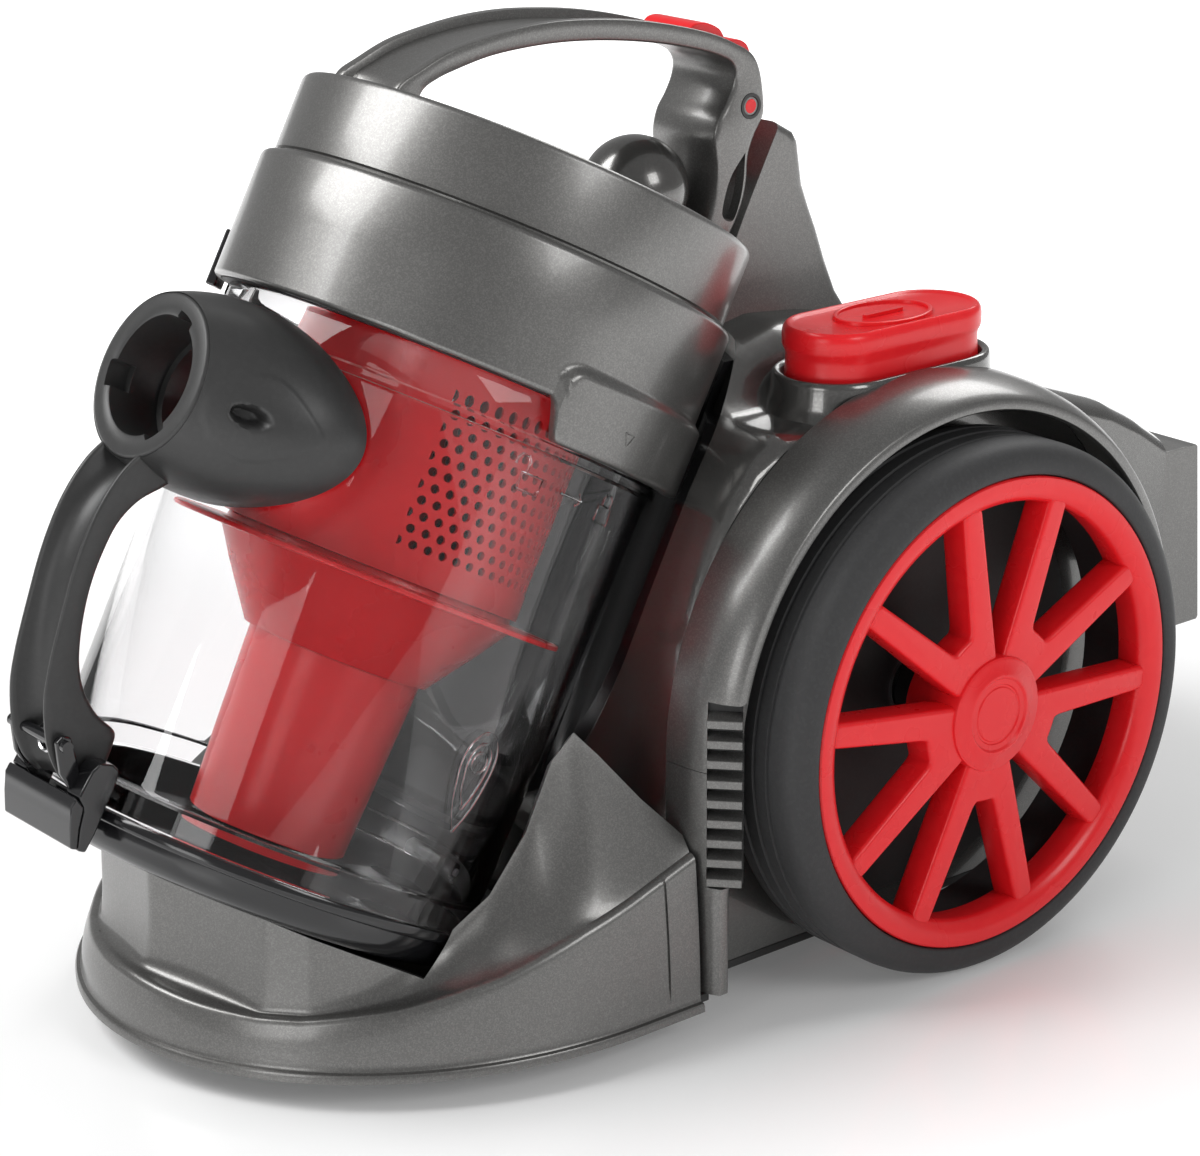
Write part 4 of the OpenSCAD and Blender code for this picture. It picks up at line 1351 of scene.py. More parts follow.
@dataclass
class RoadWheel:
    """One large wheel: tyre, rim ring, spoke pairs and hub (wheel frame)."""

    side: Side
    tyre_r: float = 95.0
    rim_r: float = 83.6
    outer: float = 136.0
    width: float = 37.0
    face: float = 134.8
    pairs: int = 5
    spoke_half: float = 3.9
    spread: float = 20.0
    first: float = 48.0
    depth: float = 12.0
    web_r: float = 32.0

    def _tyre(self) -> Solid:
        """Builds the tyre with its tread grooves.

        Returns:
            The solid.
        """
        r, out, back = self.tyre_r, self.outer, self.outer - self.width
        edge = [(79.8, back + 2.6), (84.0, back + 0.4), (90.6, back), (94.0, back + 2.4), (r, back + 6.0)]
        for groove in (back + 10.0, back + 16.5, back + 23.0):
            edge += [(r, groove - 0.9), (94.2, groove - 0.5), (94.2, groove + 0.5), (r, groove + 0.9)]
        edge += [(r, out - 9.0), (94.75, out - 6.6), (94.1, out - 4.6), (93.0, out - 2.9),
                 (91.5, out - 1.5), (89.8, out - 0.6), (88.2, out - 0.15), (86.6, out), (84.9, out - 0.05),
                 (84.3, out - 0.5), (84.0, out - 1.4), (83.85, out - 7.2), (79.8, out - 7.2)]
        return Solid().revolve(edge, 180)

    def _spoke_pair(self) -> Solid:
        """Builds two spokes and the web that joins them, centred on +x.

        Returns:
            The solid.
        """
        def spot(radius: float, turn: float, offset: float) -> Pair:
            """Point at a radius along a spoke's line, shifted across it."""
            a = math.radians(turn)
            return (radius * math.cos(a) - offset * math.sin(a), radius * math.sin(a) + offset * math.cos(a))

        w, s = self.spoke_half, self.spread
        web = [spot(self.web_r, t, 0.0) for t in (-8, -3, 3, 8)]
        outline = [spot(13.0, -s, -w), spot(77.0, -s, -w - 0.5), spot(77.0, -s, w + 0.5), *web,
                   spot(77.0, s, -w - 0.5), spot(77.0, s, w + 0.5), spot(13.0, s, w)]
        return Solid().plate([softened(outline, 3.2, 5)], self.depth, 1.7, 3)

    def _cap(self) -> Solid:
        """Builds the red wheel cover.

        Returns:
            The solid.
        """
        face, r = self.face, self.rim_r
        rim = [(75.4, face - 13.0), (79.4, face - 13.0), (79.4, face - 5.2), (83.5, face - 5.2),
               (r, face + 0.2), (83.1, face + 0.8), (82.0, face + 0.95), (80.0, face + 0.9),
               (77.6, face + 0.2), (75.6, face - 1.2), (74.5, face - 2.6), (74.2, face - 4.0)]
        cap = Solid().revolve(rim, 180)
        hub = [(0, face - 24.0), (20.4, face - 24.0), (20.6, face - 1.4), (20.2, face - 0.4),
               (19.2, face + 0.1), (15.4, face + 0.3), (14.6, face + 0.9), (13.4, face + 0.95),
               (12.7, face + 0.3), (10.9, face + 0.25), (10.5, face - 0.2), (9.9, face - 0.2),
               (9.5, face + 0.2), (0, face + 0.35)]
        cap.include(Solid().revolve(hub, 96))
        pair = self._spoke_pair().moved(Matrix.Rotation(math.radians(self.first), 4, "Z"))
        spokes = Workshop.repeat.lay(pair, columns=self.pairs, angle=360.0 / self.pairs,
                                     finish=Finishes.RED)
        cap.include(spokes.moved(Matrix.Translation((0, 0, face - 1.1 - self.depth))))
        return cap

    def build(self) -> None:
        """Makes the wheel."""
        word = self.side.word
        place = Workshop.places.wheel(self.side)
        body = Body[f"WHEEL_{self.side.name}"]
        Workshop.piece(f"road_tyre_{word}", self._tyre(), place, Finishes.TYRE, body, (f"tyre_{word}",),
                       Look(angle=40.0))
        Workshop.piece(f"wheel_cover_{word}", self._cap(), place, Finishes.RED, body, (f"hubcap_{word}",),
                       Look(angle=40.0))
        Workshop.dress(Finishes.BLACK, f"bush_{word}")
        Workshop.dress(Finishes.STEEL, f"axle_{word}")


@dataclass
class Caster:
    """Small front caster (row frame, from the CAD shape)."""

    edge: float = 0.5

    def build(self) -> None:
        """Makes the fork and the roller."""
        world = Workshop.places.world
        Workshop.piece("caster_yoke_fork", from_node("caster_fork"), world, Finishes.BLACK,
                       Body.CASTER_YOKE, ("caster_fork",), Look(bevel=self.edge))
        Workshop.piece("caster_tyre", from_node("caster_wheel"), world, Finishes.TYRE,
                       Body.CASTER_ROLLER, ("caster_wheel",), Look(bevel=self.edge * 2))
        Workshop.dress(Finishes.STEEL, "caster_axle")


# ------------------------------------------------------------------ pedals

class Mark(Enum):
    """Raised mark on a pedal: a bar for power, a cord drum for rewind."""

    POWER = "power_pedal"
    REWIND = "rewind_pedal"


@dataclass
class FootPedal:
    """Red foot pedal with a rolled lip and a raised mark (axle frame)."""

    side: Side
    mark: Mark
    length: float = 80.0
    width: float = 36.0
    top: float = 225.0
    stretch: float = 1.45

    def _block(self) -> Solid:
        """Builds the pedal's body.

        Returns:
            The solid.
        """
        rows = ((-0.6, 201.0), (-0.8, 206.0), (-1.6, 212.6), (-1.2, 214.6), (0.4, 216.2), (1.0, 217.4),
                (1.0, 220.8), (0.5, 222.4), (-0.7, 223.6), (-2.2, 224.1), (-4.0, 224.0), (-5.6, 223.5),
                (-6.8, 223.2))
        rings = [stadium(self.length + grow, self.width + grow, z, 28) for grow, z in rows]
        return Solid().skin(rings)

    def _emblem(self) -> Solid:
        """Builds the raised ring and the mark inside it.

        Returns:
            The solid.
        """
        low, high = self.top - 2.4, self.top - 0.6
        ring = Solid().revolve([(12.3, low), (12.5, high - 0.2), (12.8, high), (13.3, high),
                                (13.6, high - 0.2), (13.8, low)], 72)
        if self.mark is Mark.POWER:
            bar = Solid().skin([stadium(13.0, 2.2, z, 8) for z in (low, high)])
            ring.include(bar)
        else:
            ring.include(Solid().revolve([(5.0, low), (5.0, high), (6.4, high), (6.4, low)], 48))
            ring.include(Solid().skin([stadium(9.0, 2.0, z, 8) for z in (low, high)])
                         .moved(Matrix.Translation((5.6, 4.6, 0))))
        return ring.moved(Matrix.Diagonal((1.0, self.stretch, 1.0, 1.0)))

    def build(self) -> None:
        """Makes the pedal and dresses its spring."""
        place = Workshop.places.axle @ pedal_place(self.side)
        body = Body.POWER_KEY if self.mark is Mark.POWER else Body.REWIND_KEY
        pedal = self._block().include(self._emblem())
        Workshop.piece(f"{self.mark.value}_cap", pedal, place, Finishes.RED, body, (self.mark.value,),
                       Look(angle=40.0))
        Workshop.dress(Finishes.STEEL, f"pedal_spring_{self.side.word}")


# ------------------------------------------------------------------ cup and cyclone

@dataclass
class DustCup:
    """Clear cup with its rails, lugs and raised marks (cup frame)."""

    foot_r: float = 76.0
    height: float = 172.0
    flare: float = 2.6
    wall: float = 2.4
    inlet_s: float = 134.8
    inlet_r: float = 22.0
    barrel_half: float = 7.7
    lock_s: float = 148.0
    drop_s: float = 50.0

    def _shell(self) -> Solid:
        """Builds the clear wall with its flange and bayonet rail.

        Returns:
            The solid.
        """
        r, top = self.foot_r, self.height + 2.5
        outer = [(r - self.wall, 2.5), (79.0, 2.5), (79.0, 10.6), (78.2, 11.6), (76.9, 11.9),
                 (76.35, 13.0), (77.3, 90.0), (78.2, 152.0), (78.4, 157.2), (79.2, 158.0), (80.4, 158.2),
                 (80.4, 160.8), (79.6, 161.2), (78.7, 161.6), (78.6, top - 1), (78.0, top),
                 (76.5, top), (76.1, top - 1), (75.5, 120.0), (74.4, 60.0), (73.7, 12.0)]
        shell = Solid().revolve(outer, 192)
        for k in range(4):
            shell.include(Solid().revolve([(78.2, 165.0), (80.6, 165.2), (80.6, 168.8), (78.2, 169.0)],
                                          10, 40 + k * 90, 10))
        bore = Solid().revolve([(0, 0), (self.inlet_r, 0), (self.inlet_r, 60), (0, 60)], 64)
        bore.moved(Matrix.Translation((0, -50, self.inlet_s)) @ Matrix.Rotation(math.pi / 2, 4, "X"))
        return shell.cut(bore)

    def _barrel(self) -> Solid:
        """Builds the clear half of the flap's hinge.

        Returns:
            The solid.
        """
        y, s = FLAP_HINGE
        half = self.barrel_half
        barrel = Solid().revolve([(1.5, 0), (3.4, 0), (3.4, 2 * half), (1.5, 2 * half)], 32)
        barrel.moved(about_x((-half, y, s)))
        web = [(77.0, 2.6), (y - 2.6, 2.6), (y - 2.6, 7.0), (77.0, 7.4)]
        return barrel.include(Solid().slab(web, -half, half))

    def _on_wall(self, azimuth: float, s: float, points: Sequence[Pair]) -> list[Vector]:
        """Lays flat points on the cup's outside.

        Args:
            azimuth: middle of the mark, in degrees from the front towards +x.
            s: height of the mark's middle.
            points: (across, up) points in millimetres.

        Returns:
            Points in the cup frame.
        """
        found = []
        for across, up in points:
            r = self.foot_r + self.flare * (s + up) / self.height + 0.1
            a = math.radians(azimuth) + across / r
            found.append(Vector((r * math.sin(a), -r * math.cos(a), s + up)))
        return found

    def _marks(self) -> Solid:
        """Builds the raised open and closed locks and the arrow between them.

        Returns:
            The solid.
        """
        body = [(-4, -4), (4, -4), (4, 1.5), (-4, 1.5), (-4, -4)]
        bow = [(-2.4, 1.5), (-2.4, 4), (-1.2, 5.6), (1.2, 5.6), (2.4, 4), (2.4, 1.5)]
        opened = [(-2.4, 1.5), (-2.4, 5.4), (-3.6, 7), (-6, 7), (-7.2, 5.4), (-7.2, 3.4)]
        arrow = [(-5, 0), (5, 0), (2.6, 2.0), (5, 0), (2.6, -2.0)]
        marks = Solid()
        for azimuth, parts in ((79.0, (body, opened)), (92.0, (arrow,)), (105.0, (body, bow))):
            for part in parts:
                marks.tube(self._on_wall(azimuth, self.lock_s, part), 0.42, 6)
        drop = [(0, -16), (5, -6), (7.6, 6), (6.6, 13), (2.6, 17.5), (-2.6, 17.5), (-6.6, 13), (-7.6, 6),
                (-5, -6), (0, -16)]
        inner = [(x * 0.66, y * 0.66 + 2.5) for x, y in drop]
        eye = [(x, y + 8) for x, y in (polar(3.4, t) for t in range(0, 361, 30))]
        for part in (drop, inner, eye):
            line = [(p.x, p.y) for p in spline(part, 60)]
            marks.tube(self._on_wall(97.0, self.drop_s, line), 0.5, 6)
        return marks

    def build(self) -> None:
        """Makes the cup."""
        place = Workshop.places.cup
        cup = self._shell().include(self._barrel())
        Workshop.piece("clear_cup", cup, place, Finishes.CLEAR, Body.DUST_CUP, ("cup",), Look(angle=35.0))
        Workshop.piece("cup_marks", self._marks(), place, Finishes.CLEAR, Body.DUST_CUP, (), Look(angle=60.0))
        Workshop.dress(Finishes.STEEL, "flap_hinge_pin")
        Workshop.dress(Finishes.BLACK, "latch_pin")


@dataclass
class Cyclone:
    """Red cyclone inside the cup: perforated shroud, skirt, funnel and tube (cup frame)."""

    shroud_r: float = 52.0
    wall: float = 1.6
    low: float = 104.0
    high: float = 174.0
    columns: int = 32
    rows: int = 11
    first: float = -34.0
    sweep: float = 190.0
    band: float = 9.0
    hole_share: float = 0.33

    def _tile(self, width: float, height: float) -> Solid:
        """Builds one tile of the perforated wall, curved to the shroud.

        Args:
            width: the tile's turn, in degrees.
            height: its height.

        Returns:
            The solid, open at its edges where tiles meet.
        """
        half = math.radians(width) / 2
        reach = math.radians(width) * self.shroud_r
        edge = [(-1, -1), (0, -1), (1, -1), (1, 0), (1, 1), (0, 1), (-1, 1), (-1, 0)]
        hole = [polar(1.0, t) for t in (225, 270, 315, 0, 45, 90, 135, 180)]
        tile = Solid()

        def ring(shape: Sequence[Pair], across: float, up: float, radius: float) -> list:
            """Makes the vertices of one ring of the tile.

            Args:
                shape: (across, up) points from -1 to 1.
                across: half the ring's turn, in radians.
                up: half the ring's height.
                radius: the ring's distance from the axis.

            Returns:
                The vertices.
            """
            made = []
            for x, y in shape:
                a = x * across
                made.append(tile.bm.verts.new((radius * math.cos(a), radius * math.sin(a), y * up)))
            return made

        size = self.hole_share * min(reach, height)
        outer = self.shroud_r
        inner = outer - self.wall
        rings = [ring(edge, half, height / 2, inner), ring(hole, size / outer, size, inner),
                 ring(hole, size / outer, size, outer), ring(edge, half, height / 2, outer)]
        for one, two in zip(rings, rings[1:]):
            for k in range(8):
                n = (k + 1) % 8
                tile.bm.faces.new((one[k], one[n], two[n], two[k]))
        return tile

    def _shroud(self) -> Solid:
        """Builds the shroud: a perforated side, a plain side and solid bands.

        Returns:
            The solid.
        """
        inner = self.shroud_r - self.wall
        pitch = self.sweep / self.columns
        tall = (self.high - self.low - 2 * self.band) / self.rows
        tiles = Workshop.repeat.lay(self._tile(pitch, tall), columns=self.columns, rows=self.rows,
                                    angle=pitch, stagger=0.5, step=(0, 0, tall), finish=Finishes.RED)
        turn = Matrix.Rotation(math.radians(self.first), 4, "Z")
        shroud = tiles.moved(Matrix.Translation((0, 0, self.low + self.band + tall / 2)) @ turn)
        plain_start = self.first + self.sweep - pitch / 2
        shroud.include(Solid().revolve([(inner, self.low), (self.shroud_r, self.low),
                                        (self.shroud_r, self.high), (inner, self.high)], 64, plain_start,
                                       360 - self.sweep + 0.5 * pitch))
        for low, high in ((self.low, self.low + self.band), (self.high - self.band, self.high)):
            shroud.include(Solid().revolve([(inner, low), (self.shroud_r + 0.4, low),
                                            (self.shroud_r + 0.4, high), (inner, high)], 128))
        return shroud

    def build(self) -> None:
        """Makes the cyclone and dresses the filter over it."""
        place = Workshop.places.cup
        Workshop.piece("perforated_shroud", self._shroud(), place, Finishes.RED, Body.DUST_CUP,
                       ("cyclone_shroud",), Look(angle=50.0))
        skirt = [(33.0, 101.4), (33.0, 103.8), (50.5, 103.8), (51.0, 101.8), (67.4, 101.7), (68.8, 101.2),
                 (69.0, 100.4), (68.7, 99.7), (67.2, 99.5), (52.2, 99.4), (50.6, 97.6), (32.6, 70.2),
                 (30.8, 70.0), (30.6, 71.4), (49.0, 99.6), (49.2, 101.2)]
        Workshop.piece("skirt_and_funnel", Solid().revolve(skirt, 160), place, Finishes.RED, Body.DUST_CUP,
                       ("cyclone_skirt",), Look(angle=40.0))
        tube = [(25.5, 2.7), (28.0, 2.7), (28.0, 4.0), (30.4, 69.9), (28.0, 69.9)]
        Workshop.piece("collecting_tube", Solid().revolve(tube, 128), place, Finishes.RED, Body.DUST_CUP,
                       ("cyclone_tube",), Look(angle=40.0))
        Workshop.dress(Finishes.FILTER, "intake_filter")


@dataclass
class InletHorn:
    """Bulb-shaped inlet with three bayonet notches and a screw recess (cup frame)."""

    mouth_y: float = -111.6
    mouth_s: float = 134.8
    mouth_r: float = 27.5
    bore_r: float = 20.0
    foot_r: float = 79.4
    half_x: float = 51.0
    half_s: float = 32.5
    foot_s: float = 135.6
    steps: int = 240
    notch_r: float = 22.6
    notch_half: float = 11.0
    notches: tuple = (70.0, 190.0, 310.0)
    recess: tuple = (-3.0, 0.27, 7.0, 0.11, 6.5)
    panel: tuple = (-3.0, 0.36, 27.0, 0.32, 0.4)

    def _foot(self, x: float) -> float:
        """Returns y of the cup's outside at x."""
        return -math.sqrt(max(0.0, self.foot_r ** 2 - x * x))

    def _relief(self, turn: float, along: float) -> float:
        """Height of the raised panel less the recess, at one place on the skin.

        Args:
            turn: degrees about the mouth's axis.
            along: share of the way from the mouth to the cup.

        Returns:
            Millimetres outwards.
        """
        turn = (turn + 180) % 360 - 180
        at, mid, wide, deep, rise = self.panel
        taper = 1.0 - 0.5 * smooth_step(along, mid, mid + deep)
        far = math.hypot((turn - at) / (wide * taper), (along - mid) / deep)
        height = rise * (1 - smooth_step(far, 0.94, 1.04))
        at, mid, wide, deep, rise = self.recess
        far = math.hypot((turn - at) / wide, (along - mid) / deep)
        return height - rise * (1 - smooth_step(far, 0.55, 1.0))

    def _ring(self, along: float) -> Ring:
        """Ring of the outer skin.

        Args:
            along: 0 at the mouth, 1 at the cup.

        Returns:
            The ring.
        """
        swell = math.sin(along * 1.85) / math.sin(1.85)
        ring = []
        for k in range(self.steps):
            a = 2 * math.pi * k / self.steps
            c, s = math.cos(a), math.sin(a)
            foot_x, foot_up = self.half_x * c, self.foot_s + self.half_s * s - self.mouth_s
            x = self.mouth_r * c + (foot_x - self.mouth_r * c) * swell
            up = self.mouth_r * s + (foot_up - self.mouth_r * s) * swell
            lift = self._relief(math.degrees(a), along)
            y = self.mouth_y + (self._foot(foot_x) - self.mouth_y) * along
            ring.append(Vector((x + lift * c, y + 0.25 * abs(min(lift, 0)), self.mouth_s + up + lift * s)))
        return ring

    def _circle(self, radius: float, y: float, notched: bool = False) -> Ring:
        """Ring about the mouth's axis.

        Args:
            radius: its radius.
            y: its depth.
            notched: widens it at the bayonet notches.

        Returns:
            The ring.
        """
        ring = []
        for k in range(self.steps):
            a = 2 * math.pi * k / self.steps
            r = radius
            if notched:
                for notch in self.notches:
                    off = abs((math.degrees(a) - notch + 180) % 360 - 180)
                    share = 1 - smooth_step(off, self.notch_half, self.notch_half + 1.6)
                    r = max(r, radius + (self.notch_r - radius) * share)
            ring.append(Vector((r * math.cos(a), y, self.mouth_s + r * math.sin(a))))
        return ring

    def _back(self, share: float) -> Ring:
        """Ring of the back face, which lies on the cup.

        Args:
            share: 0 at the bore, 1 at the horn's foot.

        Returns:
            The ring.
        """
        ring = []
        for k in range(self.steps):
            a = 2 * math.pi * k / self.steps
            x = math.cos(a) * (self.bore_r + (self.half_x - self.bore_r) * share)
            up = math.sin(a) * (self.bore_r + (self.half_s - self.bore_r) * share)
            s = self.mouth_s + (self.foot_s - self.mouth_s) * share + up
            ring.append(Vector((x, self._foot(x), s)))
        return ring

    def solid(self) -> Solid:
        """Builds the horn.

        Returns:
            The solid.
        """
        count = 60
        skin = [self._ring(1 - (k / count)) for k in range(count)]
        y = self.mouth_y
        front = [self._circle(self.mouth_r, y + 1.0), self._circle(self.mouth_r - 0.35, y + 0.3),
                 self._circle(self.mouth_r - 1.1, y), self._circle(self.bore_r + 3.6, y),
                 self._circle(self.bore_r + 0.6, y, True), self._circle(self.bore_r, y + 0.5, True),
                 self._circle(self.bore_r, y + 8.0, True), self._circle(self.bore_r, y + 8.2),
                 self._circle(self.bore_r, y + 20.0), self._circle(self.bore_r - 2.2, y + 20.4),
                 self._circle(self.bore_r - 2.2, y + 26.0)]
        back = [self._back(share) for share in (0.0, 0.25, 0.5, 0.75)]
        return Solid().skin([*skin, *front, *back], loop=True)

    def build(self) -> None:
        """Makes the horn and dresses its seal."""
        Workshop.piece("inlet_bulb", self.solid(), Workshop.places.cup, Finishes.DARK, Body.DUST_CUP,
                       ("inlet_horn",), Look(angle=48.0))
        Workshop.dress(Finishes.SEAL, "inlet_seal")


@dataclass
class CupGrip:
    """Channel-shaped grip in front of the cup and the latch under it (cup frame)."""

    half: float = 11.2
    arm_inner: float = 12.4
    arm_outer: float = 14.8
    claw_outer: float = 20.6
    screw: tuple[float, float, float] = (1.6, -95.8, 17.4)
    # outer y, outer s, inner y, inner s, depth of the channel's floor as a share
    stations: tuple = ((-100.0, 117.0, -88.0, 113.0, 0.6), (-108.5, 113.0, -93.0, 108.5, 0.45),
                       (-113.5, 106.5, -98.5, 103.0, 0.36), (-116.6, 98.0, -105.0, 96.5, 0.32),
                       (-118.3, 88.0, -109.2, 88.0, 0.3), (-118.5, 78.0, -110.4, 78.0, 0.3),
                       (-117.8, 68.0, -110.2, 68.0, 0.3), (-116.4, 58.0, -108.6, 58.5, 0.3),
                       (-114.9, 48.0, -106.0, 49.5, 0.3), (-113.3, 39.0, -102.4, 41.5, 0.32),
                       (-111.0, 30.0, -96.6, 34.0, 0.4), (-107.4, 22.0, -89.0, 28.8, 0.5),
                       (-102.6, 14.4, -81.0, 25.8, 0.6), (-96.0, 8.0, -79.4, 21.0, 0.7),
                       (-89.0, 4.6, -79.4, 13.0, 0.8))
    # outline of a claw, of the bar between the claws and of an arm, as y and s
    claw: tuple = ((-90.5, 12.5), (-88.6, 15.8), (-84.0, 16.6), (-80.8, 15.4), (-80.0, 12.0),
                   (-80.3, 3.0), (-80.5, -6.0), (-81.4, -12.6), (-84.4, -12.8), (-86.6, -6.0),
                   (-88.0, 0.6), (-91.6, 3.4))
    bar: tuple = ((-92.6, 3.4), (-88.2, 1.0), (-86.8, -6.0), (-84.6, -12.4), (-87.2, -12.8), (-90.6, -6.0),
                  (-93.0, 0.0))
    arm: tuple = ((-103.0, 17.0), (-101.6, 20.0), (-98.4, 20.2), (-96.0, 17.4), (-90.0, 10.0),
                  (-91.0, 4.0), (-97.0, 8.0))

    def _grip(self) -> Solid:
        """Builds the grip with its open front channel.

        Returns:
            The solid.
        """
        outs = spline([row[:2] + (0,) for row in self.stations], 70)
        backs = spline([row[2:] for row in self.stations], 70)
        rings = []
        for out, back in zip(outs, backs):
            floor = back.z
            side = [(0.90, 0.0), (0.97, 0.04), (1.0, 0.14), (1.0, 0.9), (0.985, 0.97), (0.95, 1.0),
                    (0.88, 1.0), (0.83, 0.97), (0.79, 0.9), (0.7, 0.55 + floor * 0.45),
                    (0.5, 0.2 + floor * 0.8), (0.25, floor + 0.03)]
            section = side + [(0.0, floor)] + [(-x, q) for x, q in reversed(side)]
            rings.append([Vector((x * self.half, back.x + (out.x - back.x) * q, back.y + (out.y - back.y) * q))
                          for x, q in section])
        return Solid().skin(rings)

    def _latch(self) -> Solid:
        """Builds the latch: two claws, the bar between them and two arms.

        Returns:
            The solid.
        """
        latch = Solid().slab(self.bar, -self.claw_outer, self.claw_outer)
        for side in Side:
            for outline, reach in ((self.claw, self.claw_outer), (self.arm, self.arm_outer)):
                low, high = sorted((side.value * self.arm_inner, side.value * reach))
                latch.include(Solid().slab(outline, low, high))
        return latch

    def _screw(self) -> Solid:
        """Builds the screw at the foot of the channel.

        Returns:
            The solid.
        """
        head = [(0, 0), (3.2, 0), (3.2, 1.4), (2.6, 2.2), (1.1, 2.5), (0.9, 1.6), (0, 1.5)]
        rim = [(3.6, -1.0), (5.0, -1.0), (5.0, 2.6), (4.4, 3.2), (3.8, 2.8), (3.6, 1.0)]
        turn = Matrix.Translation(self.screw) @ Matrix.Rotation(math.radians(104), 4, "X")
        return Solid().revolve(head, 32).include(Solid().revolve(rim, 40)).moved(turn)

    def build(self) -> None:
        """Makes the grip, the latch and the screw."""
        place = Workshop.places.cup
        Workshop.piece("front_grip", self._grip(), place, Finishes.DARK, Body.DUST_CUP, ("cup_handle",),
                       Look(angle=55.0))
        Workshop.piece("claw_latch", self._latch(), place, Finishes.BLACK, Body.LATCH,
                       ("flap_latch",), Look(bevel=0.8, segments=3))
        Workshop.piece("grip_screw", self._screw(), place, Finishes.STEEL, Body.DUST_CUP, ("handle_screw",))


@dataclass
class BottomFlap:
    """Black bowl-shaped flap that closes the cup's foot (cup frame)."""

    rim_r: float = 80.0
    lean: float = 29.0

    def _bowl(self) -> Solid:
        """Builds the bowl with its lip, the seal groove and the level cut at the rear.

        Returns:
            The solid.
        """
        r = self.rim_r
        profile = [(0, -12.0), (68.0, -12.0), (72.0, -11.4), (75.0, -9.6), (77.0, -6.6), (77.8, -3.6),
                   (78.1, -2.0), (79.2, -1.7), (r - 0.2, -1.2), (r, -0.4), (r, 1.2), (r - 0.3, 1.9),
                   (r - 1.0, 2.2), (76.7, 2.2), (76.6, 0.05), (74.4, 0.05), (74.3, 2.2), (72.8, 2.2),
                   (72.6, 1.4), (72.4, -8.0), (71.0, -9.0), (0, -9.0)]
        bowl = Solid().revolve(profile, 192)
        level = Solid().block(-100, 100, -60, 180, -125.0, -41.0)
        return bowl.cut(level.moved(Matrix.Rotation(math.radians(self.lean), 4, "X")))

    def _lugs(self) -> Solid:
        """Builds the flap's two hinge lugs.

        Returns:
            The solid.
        """
        y, s = FLAP_HINGE
        lugs = Solid()
        for x in (-12.0, 12.0):
            eye = Solid().revolve([(1.55, 0), (3.4, 0), (3.4, 8.0), (1.55, 8.0)], 32)
            lugs.include(eye.moved(about_x((x - 4.0, y, s))))
            lugs.include(Solid().slab([(74.6, -2.0), (y, -2.0), (y + 2.4, 1.6), (y - 1.8, 2.2), (79.2, 2.0),
                                       (77.0, 0.0), (74.6, 0.0)], x - 4.0, x + 4.0))
        return lugs

    def build(self) -> None:
        """Makes the flap and dresses its seal."""
        flap = self._bowl().include(self._lugs())
        Workshop.piece("foot_flap", flap, Workshop.places.cup, Finishes.BLACK, Body.FLAP, ("bottom_flap",),
                       Look(angle=38.0))
        Workshop.dress(Finishes.SEAL, "flap_seal")


# ------------------------------------------------------------------ lid

